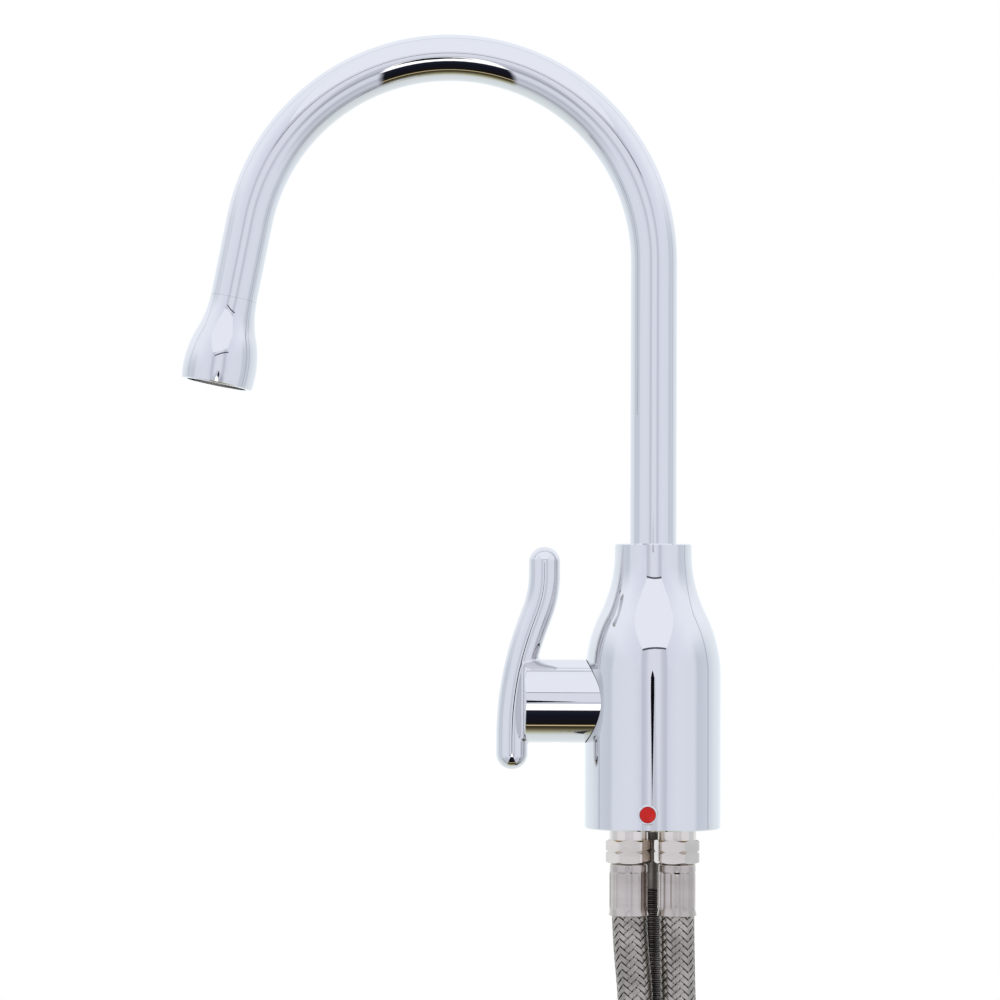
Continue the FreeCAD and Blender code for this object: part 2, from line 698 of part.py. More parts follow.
NECK_GROOVE = "neck_thread - 2 * nozzle_ring_section"
NECK_RING = "neck_thread_length - 2 * nozzle_ring_section - neck_land"
keep("nozzle_adaptor", turned("nozzle_adaptor", [
    ("spigot_bore", "-(adaptor_plug + adaptor_barb)"),
    (f"{BARB} - lead_edge", "-(adaptor_plug + adaptor_barb)"),
    (BARB, "-(adaptor_plug + adaptor_barb - barb_tooth)"),
    (f"{BARB} - barb_step", "-(adaptor_plug + adaptor_barb - barb_tooth)"),
    (f"{BARB} - barb_step", "-adaptor_plug"),
    (TUBE_FIT, "-adaptor_plug"),
    (TUBE_FIT, ZERO),
    ("neck_thread", ZERO),
    ("neck_thread", f"{NECK_RING} - nozzle_ring_section - seat_gap"),
    (NECK_GROOVE, f"{NECK_RING} - nozzle_ring_section - seat_gap"),
    (NECK_GROOVE, f"{NECK_RING} + nozzle_ring_section + seat_gap"),
    ("neck_thread", f"{NECK_RING} + nozzle_ring_section + seat_gap"),
    ("neck_thread", "neck_thread_length"),
    ("spigot_bore", "neck_thread_length"),
], NOZZLE_AXIS))
keep("nozzle_o_ring", torus("nozzle_o_ring", "neck_thread - nozzle_ring_section",
                            "nozzle_ring_section", NOZZLE_AXIS, along=NECK_RING))
keep("aerator_washer", ring("aerator_washer", "nozzle_chamber + seal_inset", "cage_radius",
                            "cage_start - nozzle_seal", "cage_start", NOZZLE_AXIS))

CAGE_END = "cage_start + cage_length"
CAGE_INNER = "cage_radius - cage_wall"
keep("aerator_cage", turned("aerator_cage", [
    (CAGE_INNER, "cage_start + seat_gap"),
    ("cage_radius", "cage_start + seat_gap"),
    ("cage_radius", f"{CAGE_END} - cage_edge"),
    ("cage_radius - cage_edge", CAGE_END),
    (f"{CAGE_INNER} - cage_lip_width", CAGE_END),
    (f"{CAGE_INNER} - cage_lip_width", f"{CAGE_END} - cage_lip"),
    (CAGE_INNER, f"{CAGE_END} - cage_lip"),
], NOZZLE_AXIS))
core = ring("straightener_core", ZERO, f"{CAGE_INNER} - seat_gap", "cage_start + 2 * seat_gap",
            f"{CAGE_END} - cage_lip - seat_gap", NOZZLE_AXIS)
streams = []
for row in range(-STREAM_RINGS, STREAM_RINGS + 1):
    for column in range(-STREAM_RINGS, STREAM_RINGS + 1):
        if abs(row + column) > STREAM_RINGS:
            continue
        streams.append(rod(f"stream_{len(streams)}", "stream_hole", "2 * cage_length",
                           NOZZLE_AXIS, across=f"stream_pitch * {column + row / 2}",
                           aside=f"stream_pitch * {row} * sqrt(3) / 2", along="cage_start"))
keep("flow_straightener", cut("flow_straightener", core, *streams))

# ---------------------------------------------------------------- lever
SPINDLE_BORE = "spindle_radius + running_gap"
hub = turned("lever_hub", [
    (SPINDLE_BORE, "cavity_end"),
    ("hub_cavity", "cavity_end"),
    ("hub_cavity", "hub_start"),
    ("hub_radius", "hub_start"),
    ("hub_radius", "hub_face - hub_edge"),
    ("hub_radius - hub_edge", "hub_face", "hub_edge"),
    (ZERO, "hub_face"),
    (ZERO, "spindle_end + loose_gap"),
    (SPINDLE_BORE, "spindle_end + loose_gap"),
], VALVE_AXIS)

# The bar's centre line, from its upper end down to its lower one.
BAR_X = ["-bar_reach"]
BAR_Z = ["valve_height + bar_top"]
for step_x, step_z in (
    (ZERO, "bar_upper"),
    ("bar_upper_bend * (1 - cos(bar_lean))", "bar_upper_bend * sin(bar_lean)"),
    ("bar_middle * sin(bar_lean)", "bar_middle * cos(bar_lean)"),
    ("bar_lower_bend * (1 - cos(bar_lean))", "bar_lower_bend * sin(bar_lean)"),
    (ZERO, "bar_lower"),
):
    BAR_X.append(f"{BAR_X[-1]} - {step_x}")
    BAR_Z.append(f"{BAR_Z[-1]} - {step_z}")
bar_body = doc.addObject("PartDesign::Body", "bar_route")
bar_route = outline(bar_body, "XZ_Plane", [
    (BAR_X[0], BAR_Z[0]),
    (BAR_X[1], BAR_Z[1]),
    (BAR_X[2], BAR_Z[2], "-bar_upper_bend"),
    (BAR_X[3], BAR_Z[3]),
    (BAR_X[4], BAR_Z[4], "bar_lower_bend"),
    (BAR_X[5], BAR_Z[5]),
], closed=False)
bar = swept("lever_bar", "bar_radius", bar_route, across=BAR_X[0], along=BAR_Z[0])
bar_ends = []
for end, across, along in (("top", BAR_X[0], BAR_Z[0]), ("foot", BAR_X[-1], BAR_Z[-1])):
    sphere = doc.addObject("Part::Sphere", f"bar_end_{end}")
    bind(sphere, Radius="bar_radius")
    bar_ends.append(place(sphere, BODY_AXIS, across=across, along=along))
lever_blank = fused("lever_blank", hub, bar, *bar_ends)

# The bar blends into the hub: the edges where the two meet are the blank's only free curves.
doc.recompute()
lever_casting = doc.addObject("Part::Fillet", "lever_casting")
lever_casting.Base = lever_blank
blend = value("bar_fillet")
lever_casting.Edges = [(number, blend, blend)
                       for number, edge in enumerate(lever_blank.Shape.Edges, start=1)
                       if not edge.Degenerated and edge.Curve.TypeId == "Part::GeomBSplineCurve"]

SCREW_AXIS = (DOWN, "-lever_screw_place", ZERO, "valve_height")
screw_hole = rod("lever_screw_hole", "lever_screw_radius + seat_gap", "hub_radius", SCREW_AXIS)
PLUG_FLOOR = "hub_radius - lever_plug_length"
plug_hole = rod("lever_plug_hole", "lever_plug_radius + seat_gap", "hub_radius", SCREW_AXIS,
                along=PLUG_FLOOR)
keep("lever", cut("lever", lever_casting, screw_hole, plug_hole))
keep("lever_plug", ring("lever_plug", ZERO, "lever_plug_radius", f"{PLUG_FLOOR} + seat_gap",
                        "sqrt(hub_radius^2 - lever_plug_radius^2)", SCREW_AXIS))
grub_screw("lever_screw", "lever_screw_radius", "lever_screw_length", "lever_screw_socket",
           SCREW_AXIS, "spindle_radius - spindle_flat + seat_gap")

# ---------------------------------------------------------------- quarter-turn valve
SEAL_TOP = "pocket_floor + seat_seal_height"
FIXED_TOP = f"{SEAL_TOP} + seat_gap + disc_height"
MOVING_TOP = f"{FIXED_TOP} + seat_gap + disc_height"
FOOT_TOP = f"{MOVING_TOP} + seat_gap + foot_height"
POCKET_FIT = "pocket_radius - seat_gap"

keep("seat_seal", ring("seat_seal", "chamber_radius + seat_gap", POCKET_FIT,
                       "pocket_floor + seat_gap", SEAL_TOP, VALVE_AXIS))


def valve_disc(name, bottom, top, port_direction):
    """A ceramic disc with two round ports on one diameter."""
    blank = ring(name + "_blank", ZERO, "disc_radius", bottom, top, VALVE_AXIS)
    ports = []
    for sign in ("", "-"):
        offset = {port_direction: f"{sign}port_offset"}
        ports.append(rod(f"{name}_port{sign}".replace("-", "_back"), "disc_port",
                         "2 * disc_height", VALVE_AXIS,
                         along=f"{bottom} - disc_height / 2", **offset))
    return cut(name, blank, *ports)


keep("ceramic_disc_fixed", valve_disc("ceramic_disc_fixed", f"{SEAL_TOP} + seat_gap",
                                      FIXED_TOP, "aside"))
moving_disc = valve_disc("moving_disc", f"{FIXED_TOP} + seat_gap", MOVING_TOP, "across")
dog_slot = block("dog_slot", "dog_width + 2 * seat_gap", "2 * disc_radius",
                 "dog_depth + seat_gap", VALVE_AXIS, across="-(dog_width / 2 + seat_gap)",
                 aside="-disc_radius", along=f"{MOVING_TOP} - dog_depth - seat_gap")
keep("ceramic_disc_moving", cut("ceramic_disc_moving", moving_disc, dog_slot))

cage_turning = turned("valve_cage_turning", [
    ("disc_radius + running_gap", f"{SEAL_TOP} + seat_gap"),
    (POCKET_FIT, f"{SEAL_TOP} + seat_gap"),
    (POCKET_FIT, "cage_end"),
    (SPINDLE_BORE, "cage_end"),
    (SPINDLE_BORE, f"{FOOT_TOP} + running_gap"),
    ("disc_radius + running_gap", f"{FOOT_TOP} + running_gap"),
], VALVE_AXIS)
window = block("cage_window", "pocket_radius", "window_width", "disc_height + foot_height",
               VALVE_AXIS, across="-(pocket_radius + disc_port)",
               aside="tail_setback / 2 - window_width / 2", along=FIXED_TOP)
keep("valve_cage", cut("valve_cage", cage_turning, window))

SPINDLE_GROOVE = "spindle_radius - 2 * spindle_ring_section"
spindle_turning = turned("spindle_turning", [
    (ZERO, f"{MOVING_TOP} + seat_gap"),
    ("foot_radius", f"{MOVING_TOP} + seat_gap"),
    ("foot_radius", FOOT_TOP),
    ("spindle_radius", FOOT_TOP),
    ("spindle_radius", "spindle_ring_place - spindle_ring_section - seat_gap"),
    (SPINDLE_GROOVE, "spindle_ring_place - spindle_ring_section - seat_gap"),
    (SPINDLE_GROOVE, "spindle_ring_place + spindle_ring_section + seat_gap"),
    ("spindle_radius", "spindle_ring_place + spindle_ring_section + seat_gap"),
    ("spindle_radius", "spindle_end - lead_edge"),
    ("spindle_radius - lead_edge", "spindle_end"),
    (ZERO, "spindle_end"),
], VALVE_AXIS)
dog = block("spindle_dog", "dog_width", "2 * (disc_radius - dog_inset)",
            "dog_depth + foot_height / 2",
            VALVE_AXIS, across="-dog_width / 2", aside="-(disc_radius - dog_inset)",
            along=f"{MOVING_TOP} - dog_depth")
flat = block("spindle_flat_cut", "spindle_radius", "2 * spindle_radius", "spindle_end",
             VALVE_AXIS, across="-(2 * spindle_radius - spindle_flat)",
             aside="-spindle_radius", along="cavity_end")
keep("spindle", cut("spindle", fused("spindle_blank", spindle_turning, dog), flat))
keep("spindle_o_ring", torus("spindle_o_ring", "spindle_radius - spindle_ring_section",
                             "spindle_ring_section", VALVE_AXIS, along="spindle_ring_place"))


def hex_barrel(name, width, bottom, top, bevel, frame, corner=None, waist=None):
    """A hexagon with its corners turned off at both ends, and grooved round them if asked."""
    reach = corner or f"{width} / sqrt(3)"
    points = [
        (ZERO, bottom),
        (f"{reach} - {bevel}", bottom),
        (reach, f"{bottom} + {bevel} * tan(30)"),
    ]
    if waist:
        middle = f"({bottom} + {top}) / 2"
        points += [
            (reach, f"{middle} - {waist}"),
            (f"{reach} - {waist}", middle),
            (reach, f"{middle} + {waist}"),
        ]
    points += [
        (reach, f"{top} - {bevel} * tan(30)"),
        (f"{reach} - {bevel}", top),
        (ZERO, top),
    ]
    barrel = turned(name + "_barrel", points, frame)
    hexagon = prism(name + "_hexagon", 6, f"{width} / sqrt(3)", f"{top} - ({bottom})", frame,
                    along=bottom)
    return shared(name, hexagon, barrel), hexagon


gland_head, _ = hex_barrel("gland_head", "gland_width", "gland_end", "gland_end + gland_head",
                           "gland_bevel", VALVE_AXIS)
gland_thread = ring("gland_thread", ZERO, POCKET_FIT, "cage_end + seat_gap", "gland_end",
                    VALVE_AXIS)
gland_bore = rod("gland_bore", SPINDLE_BORE, "hub_face", VALVE_AXIS)
keep("gland_nut", cut("gland_nut", fused("gland_blank", gland_head, gland_thread), gland_bore))

# ---------------------------------------------------------------- braided tails
TAIL_HEX_END = "tail_collar_height + tail_hex_height"
TAIL_RING = "2 * tail_ring_section"
TAIL_GROOVE = "tail_thread - 2 * tail_ring_section"
END_LIP = "ferrule_lip + hose_inset"


def ferrule(name, frame, start):
    """A crimped sleeve: a plain lip, a zone pressed into flats and a flared mouth."""
    lip = ring(name + "_lip", ZERO, "ferrule_radius", start, f"{start} + ferrule_lip", frame)
    mouth_start = f"{start} + ferrule_length - flare_length"
    flats = prism(name + "_flats", CRIMPS, f"ferrule_flat / cos(180 / {CRIMPS})",
                  "ferrule_length - flare_length - ferrule_lip", frame,
                  along=f"{start} + ferrule_lip")
    round_bar = rod(name + "_bar", "ferrule_radius",
                    "ferrule_length - flare_length - ferrule_lip", frame,
                    along=f"{start} + ferrule_lip")
    mouth = turned(name + "_mouth", [
        (ZERO, mouth_start),
        ("ferrule_radius", mouth_start),
        ("ferrule_flare", f"{start} + ferrule_length"),
        (ZERO, f"{start} + ferrule_length"),
    ], frame)
    blank = fused(name + "_blank", lip, shared(name + "_crimped", flats, round_bar), mouth)
    neck_hole = rod(name + "_neck_hole", "neck_radius + seat_gap", "2 * ferrule_lip", frame,
                    along=f"{start} - ferrule_lip")
    hose_hole = rod(name + "_hose_hole", "hose_radius + seat_gap", "2 * ferrule_length", frame,
                    along=f"{start} + ferrule_lip")
    flare_hole = rod(name + "_flare_hole", "ferrule_flare - flare_wall", "2 * ferrule_length", frame,
                     along=mouth_start)
    return keep(name, cut(name, blank, neck_hole, hose_hole, flare_hole))


def tail(side, across, hex_turn):
    """The threaded end that screws up into the waterway block."""
    name = f"hose_tail_{side}"
    frame = (DOWN, across, "tail_setback", ZERO)
    core = turned(name + "_core", [
        (ZERO, "-tail_thread_length"),
        ("tail_thread - lead_edge", "-tail_thread_length"),
        ("tail_thread", "-(tail_thread_length - lead_edge)"),
        ("tail_thread", f"-({TAIL_RING} + tail_ring_section)"),
        (TAIL_GROOVE, f"-({TAIL_RING} + tail_ring_section)"),
        (TAIL_GROOVE, f"-({TAIL_RING} - tail_ring_section)"),
        ("tail_thread", f"-({TAIL_RING} - tail_ring_section)"),
        ("tail_thread", "-tail_seat_depth"),
        ("tail_collar_radius", "-tail_seat_depth"),
        ("tail_collar_radius", "tail_collar_height"),
        ("tail_collar_radius", TAIL_HEX_END),
        ("neck_radius", TAIL_HEX_END),
        ("neck_radius", f"{TAIL_HEX_END} + ferrule_lip"),
        ("stem_radius", f"{TAIL_HEX_END} + ferrule_lip"),
        ("stem_radius", f"{TAIL_HEX_END} + ferrule_lip + stem_length"),
        (ZERO, f"{TAIL_HEX_END} + ferrule_lip + stem_length"),
    ], frame)
    head, hexagon = hex_barrel(name + "_hex", "tail_hex_width", "tail_collar_height",
                               TAIL_HEX_END, "tail_hex_bevel", frame, "tail_hex_corner",
                               "tail_hex_groove")
    turn = FreeCAD.Rotation(FreeCAD.Vector(0, 0, 1), value(hex_turn))
    hexagon.Placement = FreeCAD.Placement(hexagon.Placement.Base, DOWN.multiply(turn))
    bore = rod(name + "_bore", "tail_bore",
               f"2 * (tail_thread_length + {TAIL_HEX_END} + ferrule_lip + stem_length)", frame,
               along="-(tail_thread_length + seat_gap)")
    return keep(name, cut(name, fused(name + "_blank", core, head), bore))


tail("left", "-tail_pitch / 2", "left_hex_turn")
tail("right", "tail_pitch / 2", "right_hex_turn")
tail_rings = []
for side, sign in (("left", "-"), ("right", "")):
    tail_rings.append(torus(f"tail_ring_{side}", "tail_thread - tail_ring_section",
                            "tail_ring_section", across=f"{sign}tail_pitch / 2",
                            aside="tail_setback", along=TAIL_RING))
    ferrule(f"hose_ferrule_{side}", (DOWN, f"{sign}tail_pitch / 2", "tail_setback", ZERO),
            TAIL_HEX_END)
keep("tail_o_rings", group("tail_o_rings", *tail_rings))


def hose_route(points):
    """Straight runs joined by arcs that are as large as the runs allow, and the arcs' radii."""
    corners = [FreeCAD.Vector(*point) for point in points]
    edges = []
    radii = []
    last = corners[0]
    for before, corner, after in zip(corners, corners[1:], corners[2:]):
        back = before.sub(corner)
        on = after.sub(corner)
        turn = math.pi - back.getAngle(on)
        trim = ARC_SHARE * min(back.Length, on.Length)
        radius = trim / math.tan(turn / 2)
        first = corner.add(FreeCAD.Vector(back).normalize().multiply(trim))
        final = corner.add(FreeCAD.Vector(on).normalize().multiply(trim))
        inward = FreeCAD.Vector(back).normalize().add(FreeCAD.Vector(on).normalize()).normalize()
        reach = radius / math.cos(turn / 2) - radius
        edges.append(Part.LineSegment(last, first).toShape())
        edges.append(Part.Arc(first, corner.add(inward.multiply(reach)), final).toShape())
        radii.append(radius)
        last = final
    edges.append(Part.LineSegment(last, corners[-1]).toShape())
    return Part.Wire(edges), radii


def hose(side):
    """A tube along its route, from inside the upper ferrule to inside the lower one."""
    name = f"hose_{side}"
    points = HOSE_ROUTES[side]
    path, radii = hose_route(points)
    start = FreeCAD.Vector(*points[0])
    solids = []
    for radius in (value("hose_radius"), value("hose_bore")):
        circle = Part.Wire(Part.Circle(start, FreeCAD.Vector(0, 0, -1), radius).toShape())
        solids.append(path.makePipeShell([circle], True, False))
    tube = doc.addObject("Part::Feature", name)
    tube.Shape = solids[0].cut(solids[1])
    section = math.pi * (value("hose_radius") ** 2 - value("hose_bore") ** 2)
    print(name, "length", round(path.Length, 1), "radii", [round(radius) for radius in radii],
          "volume ratio", round(tube.Shape.Volume / section / path.Length, 4))
    return keep(name, tube)


for side in ("left", "right"):
    hose(side)
    end = [str(number) for number in HOSE_ROUTES[side][-1]]
    ferrule(f"end_ferrule_{side}", (UPRIGHT, *end), f"-({END_LIP})")
    frame = (DOWN, *end)
    flange_top = f"{END_LIP} + end_neck_length"
    keep(f"end_insert_{side}", turned(f"end_insert_{side}", [
        ("tail_bore", "hose_inset - stem_length"),
        ("stem_radius", "hose_inset - stem_length"),
        ("stem_radius", "hose_inset"),
        ("neck_radius", "hose_inset"),
        ("neck_radius", END_LIP),
        ("end_neck_radius", END_LIP),
        ("end_neck_radius", flange_top),
        ("end_flange_radius", flange_top),
        ("end_flange_radius", f"{flange_top} + end_flange_height"),
        ("tail_bore", f"{flange_top} + end_flange_height"),
    ], frame))
    washer_top = f"{flange_top} + end_flange_height + seat_gap"
    keep(f"end_washer_{side}", ring(f"end_washer_{side}", "neck_radius", "end_flange_radius",
                                    washer_top, f"{washer_top} + end_washer_height", frame))
    nut_top = f"{flange_top} - seat_gap - nut_shoulder"
    nut_hex, _ = hex_barrel(f"nut_hex_{side}", "nut_width", nut_top,
                            f"{nut_top} + nut_height", "nut_bevel", frame)
    shoulder_bore = rod(f"nut_shoulder_bore_{side}", "end_neck_radius + nut_clearance",
                        "2 * nut_height", frame)
    thread_bore = rod(f"nut_thread_bore_{side}", "nut_thread", "2 * nut_height", frame,
                      along=f"{nut_top} + nut_shoulder")
    relief = ring(f"nut_relief_{side}", ZERO, "nut_thread + nut_relief",
                  f"{nut_top} + nut_shoulder", f"{washer_top} + end_washer_height + seat_gap",
                  frame)
    keep(f"hose_nut_{side}", cut(f"hose_nut_{side}", nut_hex, shoulder_bore, thread_bore,
                                 relief))

# ---------------------------------------------------------------- fixing stud
STUD_AXIS = (DOWN, ZERO, "stud_setback", ZERO)
stud = turned("fixing_stud", [
    (ZERO, "-stud_depth"),
    ("stud_radius - lead_edge", "-stud_depth"),
    ("stud_radius", "-(stud_depth - lead_edge)"),
    ("stud_radius", "stud_length - stud_tip"),
    ("stud_radius - stud_tip", "stud_length"),
    (ZERO, "stud_length"),
], STUD_AXIS)
GROOVE_FLOOR = "stud_radius - thread_depth"
groove_sketch = outline(stud, "XZ_Plane", [
    ("stud_radius + seat_gap", "stud_shank"),
    ("stud_radius + seat_gap", f"stud_shank + {1 - THREAD_CREST} * thread_pitch"),
    ("stud_radius", f"stud_shank + {1 - THREAD_CREST} * thread_pitch"),
    (GROOVE_FLOOR, f"stud_shank + {1 - THREAD_ROOT} * thread_pitch"),
    (GROOVE_FLOOR, f"stud_shank + {THREAD_ROOT} * thread_pitch"),
    ("stud_radius", f"stud_shank + {THREAD_CREST} * thread_pitch"),
    ("stud_radius", "stud_shank"),
])
groove = stud.newObject("PartDesign::Groove", "Thread_groove")
groove.Profile = (groove_sketch, [""])
groove.ReferenceAxis = (groove_sketch, ["V_Axis"])
groove.Angle = 360
doc.recompute()
threads = stud.newObject("PartDesign::LinearPattern", "Threads")
threads.Originals = [groove]
threads.Direction = (groove_sketch, ["V_Axis"])
TURNS = "floor((stud_length - stud_shank) / thread_pitch) - 1"
bind(threads, Length=f"({TURNS} - 1) * thread_pitch", Occurrences=TURNS)
stud.Tip = threads
keep("fixing_stud", stud)

# ---------------------------------------------------------------- clamp under the worktop
def horseshoe(name, radius, start, height):
    """A flat plate open to the front for the tails, with a hole for the stud."""
    low = f"-({start} + {height})"
    plate = rod(name + "_plate", radius, height, along=low)
    tools = [rod(name + "_stud_hole", "stud_radius + loose_gap", "3 * (" + height + ")",
                 aside="stud_setback", along=f"{low} - {height}")]
    for side, sign in (("left", "-"), ("right", "")):
        tools.append(rod(f"{name}_lobe_{side}", "clamp_slot", f"3 * ({height})",
                         across=f"{sign}tail_pitch / 2", aside="tail_setback",
                         along=f"{low} - {height}"))
    tools.append(block(name + "_slot", "tail_pitch + 2 * clamp_slot", "2 * clamp_radius",
                       f"3 * ({height})", across="-(tail_pitch / 2 + clamp_slot)",
                       aside="tail_setback - 2 * clamp_radius", along=f"{low} - {height}"))
    return keep(name, cut(name, plate, *tools))


horseshoe("clamp_rubber", "clamp_radius - rubber_inset", "clamp_start", "clamp_rubber_height")
PLATE_START = "clamp_start + clamp_rubber_height + seat_gap"
horseshoe("clamp_plate", "clamp_radius", PLATE_START, "clamp_plate_height")
NUT_START = f"{PLATE_START} + clamp_plate_height + seat_gap"
clamp_hex, _ = hex_barrel("clamp_hex", "clamp_nut_width", NUT_START,
                          f"{NUT_START} + clamp_nut_height", "clamp_nut_bevel", STUD_AXIS)
clamp_bore = rod("clamp_bore", "stud_radius + running_gap", "2 * stud_length", STUD_AXIS)
keep("clamp_nut", cut("clamp_nut", clamp_hex, clamp_bore))

# ---------------------------------------------------------------- check and write
doc.recompute()
for thing in doc.Objects:
    if "Invalid" in thing.State or "Error" in thing.State:
        raise RuntimeError(f"{thing.Name} did not build: {thing.State}")
for name, thing in NODES.items():
    if thing.Shape.isNull() or not thing.Shape.isValid():
        raise RuntimeError(f"{name} has no valid shape")
os.makedirs("parts", exist_ok=True)
for name, thing in NODES.items():
    thing.Shape.exportStep(f"parts/{name}.step")
    print(f"{name:22s} solids {len(thing.Shape.Solids)}  volume {thing.Shape.Volume:9.1f}")
print(len(NODES), "nodes")
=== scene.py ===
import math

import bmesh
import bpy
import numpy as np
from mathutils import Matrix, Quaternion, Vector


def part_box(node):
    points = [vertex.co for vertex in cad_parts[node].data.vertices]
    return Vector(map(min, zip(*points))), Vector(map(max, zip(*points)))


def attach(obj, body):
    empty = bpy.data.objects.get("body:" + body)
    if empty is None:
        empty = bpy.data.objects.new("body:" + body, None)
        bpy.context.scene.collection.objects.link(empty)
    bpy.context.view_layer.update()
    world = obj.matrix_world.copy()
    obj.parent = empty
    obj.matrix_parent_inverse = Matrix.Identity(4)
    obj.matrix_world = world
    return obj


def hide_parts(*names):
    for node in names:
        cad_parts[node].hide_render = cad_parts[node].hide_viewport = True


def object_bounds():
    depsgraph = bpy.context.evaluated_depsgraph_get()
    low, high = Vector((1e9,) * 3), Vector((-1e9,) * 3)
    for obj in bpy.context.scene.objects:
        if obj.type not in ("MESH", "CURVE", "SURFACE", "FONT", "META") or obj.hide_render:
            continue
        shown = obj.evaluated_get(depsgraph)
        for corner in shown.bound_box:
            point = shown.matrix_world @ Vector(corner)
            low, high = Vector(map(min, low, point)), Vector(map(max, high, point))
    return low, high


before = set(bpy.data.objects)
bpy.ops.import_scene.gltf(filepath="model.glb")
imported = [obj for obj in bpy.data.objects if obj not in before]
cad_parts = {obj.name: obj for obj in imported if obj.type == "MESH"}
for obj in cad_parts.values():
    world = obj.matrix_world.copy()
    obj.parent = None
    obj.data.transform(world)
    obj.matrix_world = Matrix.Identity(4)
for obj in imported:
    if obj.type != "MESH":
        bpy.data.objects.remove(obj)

# %% [markdown]
# # A boiling water tap, dressed in Blender
# The tap is a chromium-plated gooseneck on a bottle-shaped body, with a side lever, two
# braided tails and a threaded stud. The CAD frame that was just loaded holds its pieces at
# their real size, so nothing here is moved or scaled: this lesson gives each surface its
# finish, and models again, over the frame, what a turned or swept solid can't show well.
# Lengths are in metres, and the box of the frame is kept to compare with the finished model.

CAD_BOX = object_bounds()
MM = 0.001
print("CAD box (mm):", [[round(x / MM, 1) for x in corner] for corner in CAD_BOX])

# %% [markdown]
# ## Colour and nodes
# Paint charts and screens give colours as sRGB hex values, but Blender's light works in
# linear values, so every colour passes through one function. A material is a small graph of
# nodes, and one helper adds any of them. It sets the node's fields, the stops of a colour
# ramp among them, and fills each input with a value, a socket or the first output of another
# node, so that a finish reads as one nested recipe. An input goes by its name, or by its
# number where several share a name.

# %% Colour and node helpers
def linear(hex_colour):
    """An sRGB hex colour as linear RGBA."""
    channels = [int(hex_colour[i:i + 2], 16) / 255 for i in (1, 3, 5)]
    return [c / 12.92 if c <= 0.04045 else ((c + 0.055) / 1.055) ** 2.4
            for c in channels] + [1.0]


def node(tree, kind, settings=None, **inputs):
    """Add a node, set its fields or ramp stops, and set or join its inputs."""
    made = tree.nodes.new("ShaderNode" + kind)
    settings = dict(settings or {})
    stops = settings.pop("stops", [])
    for field, value in settings.items():
        setattr(made, field, value)
    for _ in stops[2:]:
        made.color_ramp.elements.new(0.5)
    for number, (place, colour) in enumerate(stops):
        made.color_ramp.elements[number].position = place
        made.color_ramp.elements[number].color = linear(colour)
    for key, value in inputs.items():
        socket = made.inputs[int(key[1:]) if key[1:].isdigit() else key.replace("_", " ")]
        if isinstance(value, bpy.types.Node):
            value = value.outputs[0]
        if isinstance(value, bpy.types.NodeSocket):
            tree.links.new(value, socket)
        else:
            socket.default_value = value
    return made


def new_material(name):
    """An empty node material and its tree."""
    material = bpy.data.materials.new(name)
    material.use_nodes = True
    material.node_tree.nodes.clear()
    return material, material.node_tree


def finish_material(material, shader):
    """Join the shader to the material's output."""
    node(material.node_tree, "OutputMaterial", Surface=shader)
    return material


print("sRGB #808080 is linear", round(linear("#808080")[0], 3))

# %% [markdown]
# ## The camera
# The photograph was taken level with the tap's body from a little over a metre away, with a
# long lens, so that the upright lines stay upright. The camera stands there and tilts up by
# two degrees, and it was held a quarter of a degree off level. The focal length is worked out
# from what the picture takes in at that distance.

# %% Camera
CAMERA_PLACE = Vector((-0.05264, -1.170, 0.0707))
CAMERA_AIM = Vector((-0.05264, 0.0, 0.1120))
CAMERA_ROLL = math.radians(0.25)
CAMERA_LENS = 122.8

camera_data = bpy.data.cameras.new("camera")
camera_data.lens = CAMERA_LENS
camera_data.sensor_width = 36.0
camera_data.clip_start = 0.02
camera_data.clip_end = 60.0
camera = bpy.data.objects.new("camera", camera_data)
bpy.context.scene.collection.objects.link(camera)
camera.location = CAMERA_PLACE
camera.rotation_mode = "QUATERNION"
level_view = (CAMERA_AIM - CAMERA_PLACE).to_track_quat("-Z", "Y")
camera.rotation_quaternion = level_view @ Quaternion((0, 0, 1), CAMERA_ROLL)
bpy.context.scene.camera = camera
bpy.context.scene.view_settings.view_transform = "Standard"
print("camera is", round((CAMERA_AIM - CAMERA_PLACE).length, 3), "m from what it looks at")

# %% [markdown]
# ## The studio that chrome reflects
# Chromium has almost no colour of its own: what the eye takes for its shading is the room.
# This tap stands in a white light tent, which the world shader draws by direction. A direction
# is first turned into four angles: from the lens, down from it, aside from it, and above the
# level. Each is kept as a share of half a turn, as a colour ramp wants it. A fifth value says
# how steeply a direction rises, however far from the lens it is.

# %% Directions in the tent
DEGREE = 1 / 180                 # as a share of half a turn
LEAST_SIDEWAYS = 0.0001          # so that nothing is divided by zero straight at the lens
MULTIPLY, DIVIDE = {"operation": "MULTIPLY"}, {"operation": "DIVIDE"}
ADD, MAXIMUM = {"operation": "ADD"}, {"operation": "MAXIMUM"}

world = bpy.data.worlds.new("light_tent")
world.use_nodes = True
tree = world.node_tree
tree.nodes.clear()
bpy.context.scene.world = world

